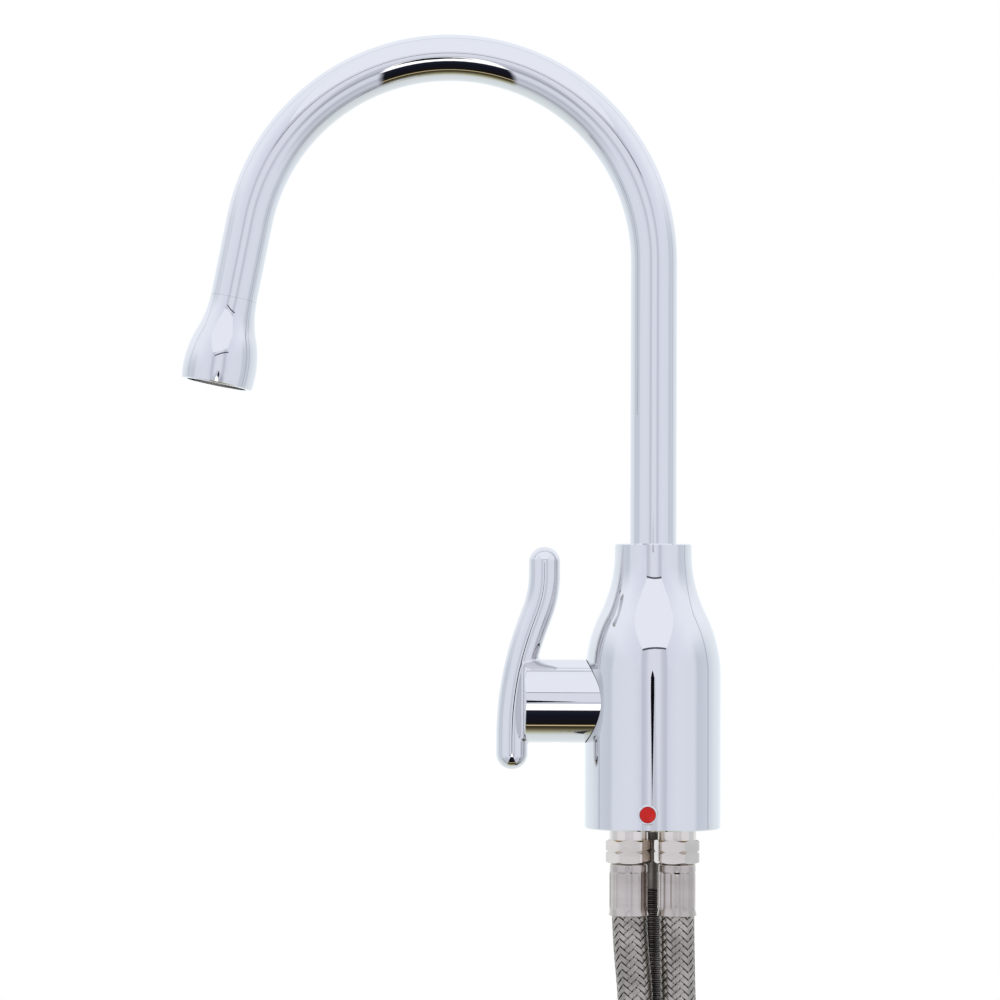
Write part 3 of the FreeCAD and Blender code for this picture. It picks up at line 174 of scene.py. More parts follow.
direction = node(tree, "SeparateXYZ",
                 Vector=node(tree, "TexCoord").outputs["Generated"]).outputs
across, rise = direction["X"], direction["Z"]
ahead = node(tree, "Math", MULTIPLY, _0=direction["Y"], _1=-1.0)
fall = node(tree, "Math", MULTIPLY, _0=rise, _1=-1.0)
to_a_side = node(tree, "Math", {"operation": "ABSOLUTE"}, _0=across)
from_lens, downwards, aside, height = [
    node(tree, "Math", DIVIDE, _0=angle, _1=math.pi) for angle in (
        node(tree, "Math", {"operation": "ARCCOSINE"}, _0=ahead),
        node(tree, "Math", {"operation": "ARCTAN2"}, _0=fall, _1=ahead),
        node(tree, "Math", {"operation": "ARCTAN2"}, _0=to_a_side, _1=ahead),
        node(tree, "Math", {"operation": "ARCSINE"}, _0=rise))]
squares = [node(tree, "Math", MULTIPLY, _0=part, _1=part) for part in (across, rise)]
sideways = node(tree, "Math", {"operation": "SQRT"},
                _0=node(tree, "Math", ADD, _0=squares[0], _1=squares[1]))
upness = node(tree, "Math", DIVIDE, _0=rise,
              _1=node(tree, "Math", MAXIMUM, _0=sideways, _1=LEAST_SIDEWAYS))
downness = node(tree, "Math", MULTIPLY, _0=upness, _1=-1.0)
print("directions:", len(tree.nodes), "nodes")

# %% [markdown]
# The walls are a cool grey-white, the roof is a little brighter and the ground darker, each
# in bands of degrees from the lens. Below the lens a gap shows a lit edge and then the dark
# room. A picture of a room could stand here instead, but a few bands suit so plain a tent
# and stay easy to change.

# %% Bands of light
WALLS = [
    (0, "#c3c6cf"), (9, "#c1c4cd"), (14, "#b0b3be"), (20.5, "#aaadb8"), (22, "#b9bcc7"),
    (29, "#bfc2cc"), (40, "#c2c5cf"), (72, "#c0c3cd"), (80, "#aeb3bd"), (95, "#b2b8c1"),
    (103, "#b4bac2"), (105, "#8f959f"), (107, "#b8bdc5"), (125, "#c4c9cf"), (180, "#cbd0d6"),
]
ROOF = [
    (0, "#c0c3cc"), (7, "#bfc2cb"), (13, "#c6c8d2"), (20, "#c8cad4"), (32, "#bfc2cd"),
    (46, "#c3c6d1"), (75, "#ccd0d9"), (103, "#ced2da"), (105, "#9da1ab"), (107, "#ced2da"),
    (118, "#d0d4dc"), (150, "#c9cdd3"), (180, "#c5c9cf"),
]
GROUND = [
    (0, "#b0b3bc"), (14, "#a9acb6"), (20, "#8c8f98"), (30, "#c0c3cd"), (42, "#bcbfc9"),
    (52, "#a2a5b0"), (66, "#afb2bc"), (76, "#a4a8b0"), (80, "#878b92"), (86, "#a3a8ae"),
    (105, "#bcc2c4"), (180, "#cbd0d1"),
]
GAP = [
    (0, "#b4b7c0"), (6, "#c0c2c8"), (8, "#ffffff"), (23, "#ffffff"), (25, "#1a1c28"),
    (40, "#10121c"), (66, "#14110f"), (68, "#3a2f20"), (70, "#d8c89a"), (72, "#3a2f20"),
    (74, "#241d15"), (82, "#4b4633"), (92, "#8d8a70"), (98, "#a9ada0"), (110, "#bcc2c4"),
]
below = node(tree, "Math", MAXIMUM, _0=downwards, _1=0.0)
walls, roof, ground, gap, door = [
    node(tree, "ValToRGB", {"stops": [(angle * DEGREE, colour) for angle, colour in bands]},
         Fac=factor)
    for bands, factor in ((WALLS, from_lens), (ROOF, from_lens), (GROUND, from_lens),
                          (GAP, below), (WALLS, aside))]
print("bands:", [len(bands) for bands in (WALLS, ROOF, GROUND, GAP)])

# %% [markdown]
# A window widens up the middle of the roof, and the tent's door is under it. Roof, ground,
# gap, window and door are laid over the walls in that order. Each lies inside its edges: at
# an edge a smooth step climbs from 0 at the outer value to 1 at the inner one.

# %% Lay the tent's parts over its walls
WINDOW_FLARE = 1.20              # degrees that a side of the window opens per degree of height
WINDOW_AT_LEVEL = -5 * DEGREE    # where that side would be at eye level
WINDOW_COLOUR = "#cfd2da"
GAP_SLOPE = math.cos(math.radians(23))       # the gap's edges lean this far from upright

window_half = node(tree, "Math", ADD, _1=WINDOW_AT_LEVEL,
                   _0=node(tree, "Math", MULTIPLY, _0=height, _1=WINDOW_FLARE))
window_depth = node(tree, "Math", {"operation": "SUBTRACT"}, _0=window_half, _1=aside)
TENT_PARTS = [                   # what is seen, then its edges: of what, outer, inner
    (roof, [(upness, 0.15, 0.5)]),
    (ground, [(downness, 0.3, 0.7)]),
    (gap, [(downness, GAP_SLOPE - 0.01, GAP_SLOPE + 0.01),
           (downwards, 5 * DEGREE, 7 * DEGREE), (downwards, 110 * DEGREE, 100 * DEGREE)]),
    (linear(WINDOW_COLOUR), [(window_depth, -0.4 * DEGREE, 0.4 * DEGREE),
                             (height, 22 * DEGREE, 23 * DEGREE),
                             (height, 84 * DEGREE, 78 * DEGREE)]),
    (door, [(aside, 26 * DEGREE, 24 * DEGREE), (height, 0.0, 2 * DEGREE),
            (height, 23 * DEGREE, 22 * DEGREE)]),
]
tent = walls
for seen, edges in TENT_PARTS:
    inside = 1.0
    for value, outer, inner in edges:
        edge = node(tree, "MapRange", {"interpolation_type": "SMOOTHSTEP"}, Value=value,
                    From_Min=outer, From_Max=inner)
        inside = node(tree, "Math", MULTIPLY, _0=inside, _1=edge)
    tent = node(tree, "Mix", {"data_type": "RGBA"}, _0=inside, _6=tent, _7=seen).outputs[2]
print("tent:", len(TENT_PARTS), "parts over the walls")

# %% [markdown]
# Only rays that bounce off the metal see the tent. The camera itself sees plain white behind
# the tap, and matt surfaces get an even pale light.

# %% What each ray sees
TENT_LIGHT = 1.75                # brightness that the bands' white stands for
PLAIN_LIGHT = 0.85

rays = node(tree, "LightPath").outputs
seen_in_metal = node(tree, "Background", Color=tent, Strength=TENT_LIGHT)
plain_light = node(tree, "Background", Color=linear("#f3f4f6"), Strength=PLAIN_LIGHT)
white = node(tree, "Background", Color=linear("#ffffff"), Strength=1.0)
bounced = node(tree, "MixShader", _0=rays["Is Glossy Ray"], _1=plain_light, _2=seen_in_metal)
behind = node(tree, "Math", MAXIMUM, _0=rays["Is Camera Ray"],
              _1=rays["Is Transmission Ray"])
node(tree, "OutputWorld", Surface=node(tree, "MixShader", _0=behind, _1=bounced, _2=white))
print("world:", len(tree.nodes), "nodes")

# %% [markdown]
# ## Two cards beside the camera
# The lens and its stand are so close that only the body reflects them, as a dark sliver that
# narrows downwards. The bar over the tent's door shows as a line that lies lower on the arch
# than on the body. The world can't do either, because it is the same from every place, so
# both are flat cards that only the metal sees.

# %% Lens card and door bar
def plate(name, corners, material):
    """A flat stage card through its corners."""
    mesh = bpy.data.meshes.new(name)
    mesh.from_pydata(corners, [], [tuple(range(len(corners)))])
    card = bpy.data.objects.new(name, mesh)
    bpy.context.scene.collection.objects.link(card)
    mesh.materials.append(material)
    return card


def glowing(name, colour):
    """A stage material of one even brightness."""
    material, tree = new_material(name)
    return finish_material(material, node(tree, "Emission", Color=linear(colour),
                                          Strength=1.0))


CARD_DISTANCE = -1.18
LENS_MIDDLE = -0.062
LENS_SIDE = [(0.150, 0.0), (0.040, 0.060), (0.020, 0.062), (-0.015, 0.034), (-0.056, 0.0)]
lens_outline = [(LENS_MIDDLE + half, CARD_DISTANCE, level) for level, half in LENS_SIDE]
lens_outline += [(LENS_MIDDLE - half, CARD_DISTANCE, level)
                 for level, half in reversed(LENS_SIDE[1:-1])]
lens_card = plate("lens_card", lens_outline, glowing("lens_shade", "#0b0b12"))

DOOR_HALF, DOOR_TOP, BAR_WIDTH = 0.46, 0.55, 0.036
BAR_TILT = 0.006                 # that each end of the bar is off level
door_bar = plate("door_bar", [
    (-DOOR_HALF, CARD_DISTANCE, DOOR_TOP - BAR_TILT),
    (DOOR_HALF, CARD_DISTANCE, DOOR_TOP + BAR_TILT),
    (DOOR_HALF, CARD_DISTANCE, DOOR_TOP + BAR_TILT + BAR_WIDTH),
    (-DOOR_HALF, CARD_DISTANCE, DOOR_TOP - BAR_TILT + BAR_WIDTH),
], glowing("door_bar_grey", "#5c5e68"))
for card in (lens_card, door_bar):
    card.visible_camera = False
    card.visible_diffuse = False
    card.visible_shadow = False
    card.visible_transmission = False
print("cards:", lens_card.name, "and", door_bar.name)

# %% [markdown]
# ## Floor and lamp
# The floor is a pale sheet under the tails that keeps the tap's shadow near it and fades to
# the white backdrop. One broad lamp overhead, which the metal doesn't mirror, gives matt
# surfaces a soft shape.

# %% Floor and lamp
FLOOR_LEVEL = CAD_BOX[0].z
FLOOR_HALF = 6.0
SHADOW_REACH = (0.20, 0.55)      # from the tails, over which the floor turns to backdrop
floor_material, tree = new_material("studio_paper")
flat = node(tree, "VectorMath", {"operation": "MULTIPLY"}, _0=node(tree, "NewGeometry"),
            _1=(1, 1, 0))
distance = node(tree, "VectorMath", {"operation": "LENGTH"}, _0=flat).outputs["Value"]
fade = node(tree, "MapRange", {"interpolation_type": "SMOOTHSTEP"}, Value=distance,
            From_Min=SHADOW_REACH[0], From_Max=SHADOW_REACH[1])
paper = node(tree, "BsdfDiffuse", Color=linear("#f6f6f6"), Roughness=0.6)
backdrop = node(tree, "Emission", Color=linear("#ffffff"), Strength=1.0)
finish_material(floor_material, node(tree, "MixShader", _0=fade, _1=paper, _2=backdrop))
floor = plate("floor", [(x * FLOOR_HALF, y * FLOOR_HALF, FLOOR_LEVEL)
                        for x, y in ((-1, -1), (1, -1), (1, 1), (-1, 1))], floor_material)
floor.visible_glossy = False

LAMP_PLACE, LAMP_AIM = Vector((-0.3, -0.6, 1.7)), Vector((-0.05, 0.0, 0.0))
lamp_data = bpy.data.lights.new("top_lamp", "AREA")
lamp_data.size = 1.2
lamp_data.energy = 9.0
lamp = bpy.data.objects.new("top_lamp", lamp_data)
bpy.context.scene.collection.objects.link(lamp)
lamp.location = LAMP_PLACE
lamp.rotation_mode = "QUATERNION"
lamp.rotation_quaternion = (LAMP_AIM - LAMP_PLACE).to_track_quat("-Z", "Y")
lamp.visible_glossy = False
lamp.visible_camera = False
print("floor at", round(FLOOR_LEVEL / MM, 1), "mm")

# %% [markdown]
# ## Bright chromium plating
# The body, spout, nozzle, lever and bezel are brass, polished, nickel plated and then plated
# with a fraction of a micron of chromium. That gives a hard mirror with almost no colour.
# It could be left as a perfect mirror, but polishing leaves very shallow waves about 20 mm
# long and the mildest haze, so the roughness and the bump follow soft noise.

# %% Chromium
HAZE_PATCH, WAVE_LENGTH, WAVE_DEPTH = 6.0 * MM, 22.0 * MM, 0.010 * MM

CHROME, tree = new_material("bright_chromium_plating")
place = node(tree, "TexCoord").outputs["Object"]
haze = node(tree, "TexNoise", Vector=place, Scale=1 / HAZE_PATCH)
waves = node(tree, "TexNoise", Vector=place, Scale=1 / WAVE_LENGTH, Detail=0.0)
finish_material(CHROME, node(
    tree, "BsdfPrincipled", Base_Color=linear("#dadadc"), Metallic=1.0,
    Roughness=node(tree, "MapRange", Value=haze, To_Min=0.012, To_Max=0.030),
    Normal=node(tree, "Bump", Height=waves, Distance=WAVE_DEPTH)))
print(CHROME.name, len(tree.nodes), "nodes")

# %% [markdown]
# ## The other metals
# The hexagons of the tails are nickel plated: a warmer, softer mirror than chromium, turned
# before plating, so fine rings still show. The sleeves are rolled stainless steel, the clamp
# is zinc-plated pressing steel and the stud is dull rolled thread. Under the plating, and
# inside, the machined brass is bare. All are metals with roughness from their own process.

# %% Nickel, stainless, zinc and brass
WORN_PATCH = 7.0 * MM
ROUGHNESS_SWING = 0.06


def metal(name, colour, worn, roughness, grain_mm, grain_depth_mm, stretch=(1, 1, 1)):
    """A bare or plated metal: two tones, uneven roughness and a machined or rolled grain."""
    material, tree = new_material(name)
    place = node(tree, "Mapping", Vector=node(tree, "TexCoord").outputs["Object"],
                 Scale=stretch)
    patches = node(tree, "TexNoise", Vector=place, Scale=1 / WORN_PATCH, Detail=3.0)
    grain = node(tree, "TexNoise", Vector=place, Scale=1 / (grain_mm * MM), Roughness=0.6)
    return finish_material(material, node(
        tree, "BsdfPrincipled", Metallic=1.0,
        Base_Color=node(tree, "ValToRGB", {"stops": [(0.35, worn), (0.65, colour)]},
                        Fac=patches),
        Roughness=node(tree, "MapRange", Value=grain, To_Min=roughness - ROUGHNESS_SWING,
                       To_Max=roughness + ROUGHNESS_SWING),
        Normal=node(tree, "Bump", Height=grain, Distance=grain_depth_mm * MM)))


TURNED = (0.2, 0.2, 1.0)         # turning leaves rings, so the grain is long round the axis
NICKEL = metal("nickel_plated_brass", "#e2dbd3", "#d2cac1", 0.14, 0.35, 0.004, TURNED)
STAINLESS = metal("rolled_stainless_steel", "#c8c0b9", "#b9b0a9", 0.15, 0.4, 0.004, TURNED)
STUD_STEEL = metal("rolled_thread_steel", "#8b8782", "#6b6763", 0.36, 0.5, 0.008)
PLATE_STEEL = metal("zinc_plated_pressing", "#b4b6b9", "#9b9da3", 0.33, 0.9, 0.006)
SPRING_STEEL = metal("phosphate_spring_steel", "#6d6a68", "#565453", 0.42, 0.4, 0.004)
BRASS = metal("machined_brass", "#d9bd7c", "#c5a663", 0.22, 0.3, 0.005, TURNED)
print("metals:", [m.name for m in (NICKEL, STAINLESS, STUD_STEEL, PLATE_STEEL, BRASS)])

# %% [markdown]
# ## Rubber, plastics and ceramic
# The seals are black EPDM rubber, moulded and slightly chalky. The hot-water liner is
# translucent silicone. The dot on the front is glossy red ABS, and the flow straightener
# and bushes are white acetal. The valve's discs are lapped alumina, almost glassy.

# %% Rubber, silicone, plastics and alumina
MOULD_PATCH = 5.0 * MM
SKIN_SWING = 0.05                # of the roughness


def moulded(name, colour, shade, roughness, grain_mm, grain_depth_mm, **shader_values):
    """A moulded or pressed solid: two close tones and a fine skin."""
    material, tree = new_material(name)
    place = node(tree, "TexCoord").outputs["Object"]
    patches = node(tree, "TexNoise", Vector=place, Scale=1 / MOULD_PATCH, Detail=3.0)
    skin = node(tree, "TexNoise", Vector=place, Scale=1 / (grain_mm * MM))
    return finish_material(material, node(
        tree, "BsdfPrincipled",
        Base_Color=node(tree, "ValToRGB", {"stops": [(0.3, shade), (0.7, colour)]},
                        Fac=patches),
        Roughness=node(tree, "MapRange", Value=skin, To_Min=roughness - SKIN_SWING,
                       To_Max=roughness + SKIN_SWING),
        Normal=node(tree, "Bump", Height=skin, Distance=grain_depth_mm * MM),
        **shader_values))


RUBBER = moulded("moulded_epdm_rubber", "#2a2a2b", "#1c1c1d", 0.62, 0.3, 0.01, IOR=1.52)
SILICONE = moulded("extruded_silicone", "#e8e6e0", "#dedbd4", 0.38, 0.6, 0.004, IOR=1.41)
RED_ABS = moulded("glossy_red_abs", "#cc1810", "#bf120b", 0.22, 0.5, 0.001, IOR=1.50,
                  Specular_IOR_Level=0.3)
ACETAL = moulded("moulded_white_acetal", "#f0efeb", "#e7e6e1", 0.30, 0.5, 0.003, IOR=1.48)
ALUMINA = moulded("lapped_alumina", "#f4f1ea", "#ece8e0", 0.14, 0.2, 0.001, IOR=1.76)

FINISHES = {
    "chrome": CHROME, "brass": BRASS, "nickel": NICKEL, "stainless": STAINLESS,
    "braid": STAINLESS, "stud_steel": STUD_STEEL, "plate_steel": PLATE_STEEL,
    "spring_steel": SPRING_STEEL, "rubber": RUBBER, "silicone": SILICONE,
    "red_index": RED_ABS, "white_plastic": ACETAL, "ceramic": ALUMINA,
}
for name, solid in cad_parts.items():
    for place_in_list, old in enumerate(solid.data.materials):
        slot_name = old.name.split(".")[0]
        solid.data.materials[place_in_list] = FINISHES[slot_name]
print("finishes given to", len(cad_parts), "nodes")

# %% [markdown]
# ## Modelling by hand
# The next pieces are modelled as one would at the screen: a primitive is added, and then it
# is extruded and scaled in edit mode. An operator acts on all that is selected, so a helper
# first selects the points that it should reach, by a test of their place. A turned piece is
# a circle that is extruded through the rings of its profile until it closes on itself.

# %% Helpers for edit mode
def choose(piece, wanted):
    """Select only the points whose place passes a test, in edit mode."""
    bpy.ops.mesh.select_mode(type="VERT")
    bpy.ops.mesh.select_all(action="DESELECT")
    shape = bmesh.from_edit_mesh(piece.data)
    for vertex in shape.verts:
        vertex.select = wanted(vertex.co)
    shape.select_flush(True)
    bmesh.update_edit_mesh(piece.data)


def turned_shell(name, profile, sides):
    """A closed turned shell, from a circle extruded through rings of (radius, height) in mm."""
    bpy.ops.object.select_all(action="DESELECT")
    radius, height = profile[0]
    bpy.ops.mesh.primitive_circle_add(vertices=sides, radius=radius * MM,
                                      location=(0, 0, height * MM))
    piece = bpy.context.object
    piece.name = name
    bpy.ops.object.transform_apply(location=True, rotation=True, scale=True)
    bpy.ops.object.mode_set(mode="EDIT")
    bpy.ops.mesh.select_all(action="SELECT")
    for (radius, height), (next_radius, next_height) in zip(profile, profile[1:] + profile[:1]):
        rise = (0, 0, (next_height - height) * MM)
        share = next_radius / radius
        bpy.ops.mesh.extrude_region_move(TRANSFORM_OT_translate={"value": rise})
        bpy.ops.transform.resize(value=(share, share, 1),
                                 center_override=(0, 0, next_height * MM))
    bpy.ops.mesh.select_all(action="SELECT")
    bpy.ops.mesh.remove_doubles(threshold=0.01 * MM)
    bpy.ops.mesh.normals_make_consistent(inside=False)
    bpy.ops.object.mode_set(mode="OBJECT")
    return piece


def modify(piece, kind, **settings):
    """Add a modifier and apply it."""
    made = piece.modifiers.new(kind.title(), kind)
    for field, value in settings.items():
        setattr(made, field, value)
    bpy.context.view_layer.objects.active = piece
    bpy.ops.object.modifier_apply(modifier=made.name)


def triangles(piece):
    """How many triangles a mesh piece has."""
    return sum(len(face.vertices) - 2 for face in piece.data.polygons)


print("helpers:", [helper.__name__ for helper in (choose, turned_shell, modify, triangles)])

# %% [markdown]
# ## The crimped sleeves
# A thin sleeve of rolled stainless steel holds each end of a tail. A press closes nine dies
# round it, and the metal that is squeezed between two dies stands up as a low ridge. It could
# be turned, as the frame's is, but the ridges and the drawn shoulder are what catch the light.
# So the shell is turned first, the columns that the dies touch are pressed in, and a
# subdivision surface rounds the rest, as the press does. It is modelled once, with its lip at
# the origin, and copied to its four places, upside down at the nuts.

# %% Model one sleeve
UPPER_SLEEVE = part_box("hose_ferrule_left")
SLEEVE_LENGTH = (UPPER_SLEEVE[1].z - UPPER_SLEEVE[0].z) / MM
DIES = 9
COLUMNS = 8                      # of faces for one die, from ridge to ridge
LIP_RADIUS, RIDGE_RADIUS, PRESSED_RADIUS, MOUTH_RADIUS = 6.45, 6.84, 6.18, 6.82
LIP_END, MOUTH_START = 3.0, SLEEVE_LENGTH - 3.0
OUTER_SKIN = 6.3                 # radius beyond which a point is on the outside

sleeve = turned_shell("sleeve", [
    (4.6, 0.0), (5.5, 0.0), (6.1, -0.15), (6.4, -0.6), (LIP_RADIUS, -1.2),
    (LIP_RADIUS, -LIP_END + 0.5), (LIP_RADIUS, -LIP_END + 0.1),
    (RIDGE_RADIUS, -LIP_END - 0.4), (RIDGE_RADIUS, -LIP_END - 1.2),
    (RIDGE_RADIUS, -MOUTH_START + 1.2), (RIDGE_RADIUS, -MOUTH_START),
    (6.5, -MOUTH_START - 1.2), (MOUTH_RADIUS - 0.05, -SLEEVE_LENGTH + 0.2),
    (MOUTH_RADIUS, -SLEEVE_LENGTH), (MOUTH_RADIUS - 0.3, -SLEEVE_LENGTH),
    (MOUTH_RADIUS - 0.4, -SLEEVE_LENGTH + 0.2), (6.06, -MOUTH_START), (6.06, -LIP_END - 0.4),
    (5.9, -LIP_END), (4.6, -LIP_END),
], DIES * COLUMNS)


def under_a_die(place):
    """Whether a point of the sleeve lies outside, in the crimped stretch and off a ridge."""
    column = round(math.atan2(place.y, place.x) / math.tau * DIES * COLUMNS) % COLUMNS
    outside = math.hypot(place.x, place.y) > OUTER_SKIN * MM
    crimped = (-MOUTH_START - 0.1) * MM < place.z < -LIP_END * MM
    return outside and crimped and column != 0


bpy.ops.object.mode_set(mode="EDIT")
choose(sleeve, under_a_die)
PRESSED_SHARE = PRESSED_RADIUS / RIDGE_RADIUS
bpy.ops.transform.resize(value=(PRESSED_SHARE, PRESSED_SHARE, 1), center_override=(0, 0, 0))
bpy.ops.object.mode_set(mode="OBJECT")
modify(sleeve, "SUBSURF", levels=2, render_levels=2)
sleeve.data.polygons.foreach_set("use_smooth", [True] * len(sleeve.data.polygons))
print("a sleeve is", round(SLEEVE_LENGTH, 1), "mm long, with", triangles(sleeve), "triangles")

# %% [markdown]
# Each copy gets its own mesh, turned so that its ridges fall where the press left them.

# %% Put the four sleeves in place
RIDGE_TURN = {"hose_ferrule_left": -4, "hose_ferrule_right": -17,
              "end_ferrule_left": 9, "end_ferrule_right": 23}
sleeves = {}
for name, turn in RIDGE_TURN.items():
    low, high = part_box(name)
    upper = name.startswith("hose")
    middle = Vector(((low.x + high.x) / 2, (low.y + high.y) / 2, high.z if upper else low.z))
    flip = Matrix.Identity(4) if upper else Matrix.Rotation(math.pi, 4, "X")
    spin = Matrix.Rotation(math.radians(turn - 90), 4, "Z")
    copy = bpy.data.objects.new(name.replace("ferrule", "sleeve"), sleeve.data.copy())
    copy.data.transform(Matrix.Translation(middle) @ spin @ flip)
    copy.data.materials.append(STAINLESS)
    bpy.context.scene.collection.objects.link(copy)
    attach(copy, "tap_body")
    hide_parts(name)
    sleeves[name] = copy
bpy.data.objects.remove(sleeve)
print("sleeves:", list(sleeves))

# %% [markdown]
# ## The stud's thread
# The stud is steel bar with a metric thread rolled on it, 1.5 mm from crest to crest. The
# frame has plain grooves, which is lighter and looks the same from far off, but the thread
# climbs as it goes round, and close to the tails that shows. One pitch of the profile is
# extruded in edit mode and the Screw modifier winds it down. Two bisections with a filled
# cut square off its ends, and a plain shank covers the start.

# %% Wind the thread
STUD_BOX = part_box("fixing_stud")
STUD_MIDDLE = ((STUD_BOX[0].x + STUD_BOX[1].x) / 2, (STUD_BOX[0].y + STUD_BOX[1].y) / 2)
STUD_TIP, STUD_TOP = STUD_BOX[0].z, STUD_BOX[1].z
SHANK_END = -21.8 * MM
PITCH = 1.5 * MM
CREST, ROOT = 4.95 * MM, 4.15 * MM
TURNS = math.ceil((SHANK_END - STUD_TIP) / PITCH) + 2
PROFILE = ((0, 0.12), (CREST - ROOT, 0.32), (0, 0.20), (ROOT - CREST, 0.36))  # out, pitches down
HIDDEN_IN_SHANK = 0.4 * MM
TIP_BEVEL, TIP_SHARE = 0.7 * MM, 0.88        # its height, and the tip's width there

bpy.ops.object.select_all(action="DESELECT")
bpy.ops.mesh.primitive_plane_add(size=1 * MM)
stud = bpy.context.object
stud.name = "stud_thread"
bpy.ops.object.mode_set(mode="EDIT")
bpy.ops.mesh.select_mode(type="VERT")
bpy.ops.mesh.select_all(action="SELECT")
bpy.ops.mesh.merge(type="CENTER")
bpy.ops.transform.translate(value=(ROOT, 0, SHANK_END + PITCH))
for out, down in PROFILE:
    bpy.ops.mesh.extrude_region_move(
        TRANSFORM_OT_translate={"value": (out, 0, -down * PITCH)})
bpy.ops.object.mode_set(mode="OBJECT")
modify(stud, "SCREW", angle=math.tau, screw_offset=-PITCH, iterations=TURNS, steps=40,
       render_steps=40, use_merge_vertices=True, merge_threshold=0.005 * MM)

bpy.ops.object.mode_set(mode="EDIT")
for cut, keep_side in ((SHANK_END + HIDDEN_IN_SHANK, 1), (STUD_TIP, -1)):
    bpy.ops.mesh.select_all(action="SELECT")
    bpy.ops.mesh.bisect(plane_co=(0, 0, cut), plane_no=(0, 0, keep_side), use_fill=True,
                        clear_outer=True)
choose(stud, lambda place: place.z < STUD_TIP + TIP_BEVEL)
bpy.ops.transform.resize(value=(TIP_SHARE, TIP_SHARE, 1), center_override=(0, 0, STUD_TIP))
bpy.ops.mesh.select_all(action="SELECT")
bpy.ops.mesh.remove_doubles(threshold=0.002 * MM)
bpy.ops.mesh.normals_make_consistent(inside=False)
bpy.ops.object.mode_set(mode="OBJECT")
print("thread:", TURNS, "turns,", triangles(stud), "triangles")

# %% [markdown]
# The shank is a cylinder with a bevelled foot, joined to the thread as one piece.

# %% Add the shank and put the stud in place
bpy.ops.object.select_all(action="DESELECT")
bpy.ops.mesh.primitive_cylinder_add(vertices=64, radius=STUD_BOX[1].x - STUD_MIDDLE[0],
                                    depth=STUD_TOP - SHANK_END,
                                    location=(0, 0, (STUD_TOP + SHANK_END) / 2))
shank = bpy.context.object
bpy.ops.object.transform_apply(location=True, rotation=True, scale=True)
bpy.ops.object.mode_set(mode="EDIT")
choose(shank, lambda place: place.z < SHANK_END + 0.01 * MM)
bpy.ops.mesh.bevel(offset=0.6 * MM, segments=3, affect="EDGES")
bpy.ops.object.mode_set(mode="OBJECT")
bpy.ops.object.select_all(action="DESELECT")
stud.select_set(True)
shank.select_set(True)
bpy.context.view_layer.objects.active = stud
bpy.ops.object.join()
stud.data.transform(Matrix.Translation((*STUD_MIDDLE, 0)))
bpy.ops.object.shade_smooth_by_angle(angle=math.radians(35))
stud.data.materials.clear()
stud.data.materials.append(STUD_STEEL)
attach(stud, "tap_body")
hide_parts("fixing_stud")
print("stud:", triangles(stud), "triangles, tip at", round(STUD_TIP / MM, 1), "mm")

# %% [markdown]
# ## The line of each tail
# A tail is a rubber hose in a woven sleeve of stainless wire. It leaves its crimped sleeve
# straight down and leans a little, because it was stored bent, until it hangs plumb at its
# nut. One NURBS spline of order 3 bends smoothly past a few listed points, the same
# points that the frame's hose follows. The rubber is that spline with a round bevel, a
# little thinner than the tail, to leave room for the wire.

# %% Lines of the two tails
HOSE_ROUTES = {
    "left": [(-8.2, -3.0, -15.1), (-8.2, -3.0, -33.0), (-5.0, -5.2, -65.0),
             (-8.0, -7.0, -103.0), (-14.5, -7.0, -152.0), (-18.0, -4.5, -207.0),
             (-17.5, -2.5, -239.0), (-17.5, -2.5, -269.0)],
    "right": [(8.2, -3.0, -15.1), (8.2, -3.0, -50.0), (10.5, -5.5, -97.0),
              (15.5, -5.0, -148.0), (18.6, -1.5, -204.0), (17.9, 0.5, -238.0),
              (17.9, 0.5, -269.0)],
}
RUBBER_RADIUS = 5.25 * MM


def route_curve(name, points):
    """A curve object of one NURBS spline past its points, which are in millimetres."""
    data = bpy.data.curves.new(name, "CURVE")
    data.dimensions = "3D"
    data.resolution_u = 24
    spline = data.splines.new("NURBS")
    spline.points.add(len(points) - 1)
    for control, point in zip(spline.points, points):
        control.co = [length * MM for length in point] + [1.0]
    spline.order_u = 3
    spline.use_endpoint_u = True
    curve = bpy.data.objects.new(name, data)
    bpy.context.scene.collection.objects.link(curve)
    return curve


def line_of(curve):
    """The points of a curve's own line, read while it has no bevel."""
    bpy.context.view_layer.update()
    mesh = bpy.data.meshes.new_from_object(curve)
    line = np.array([vertex.co for vertex in mesh.vertices])
    bpy.data.meshes.remove(mesh)
    return line


hoses, hose_lines = {}, {}
for side, points in HOSE_ROUTES.items():
    hoses[side] = route_curve(f"hose_rubber_{side}", points)
    hose_lines[side] = line_of(hoses[side])
    hoses[side].data.bevel_depth = RUBBER_RADIUS
    hoses[side].data.bevel_resolution = 6
    hoses[side].data.use_fill_caps = True
    hoses[side].data.materials.append(RUBBER)
    steps = np.linalg.norm(np.diff(hose_lines[side], axis=0), axis=1)
    print(side, "tail:", len(hose_lines[side]), "points,", round(steps.sum() / MM, 1), "mm")

# %% [markdown]
# ## The woven sleeve
# Twenty-four carriers braid the sleeve, twelve each way round, and each lays five fine wires
# side by side as a flat ribbon. A ribbon passes over two others and then under two, and that
# stacks the V shapes in columns along the tail. The weave could be a bump pattern, but its
# outline and its small dark holes show up close, so every ribbon is modelled. The height of
# a ribbon depends only on how far round the tail it is, because the columns stand still.

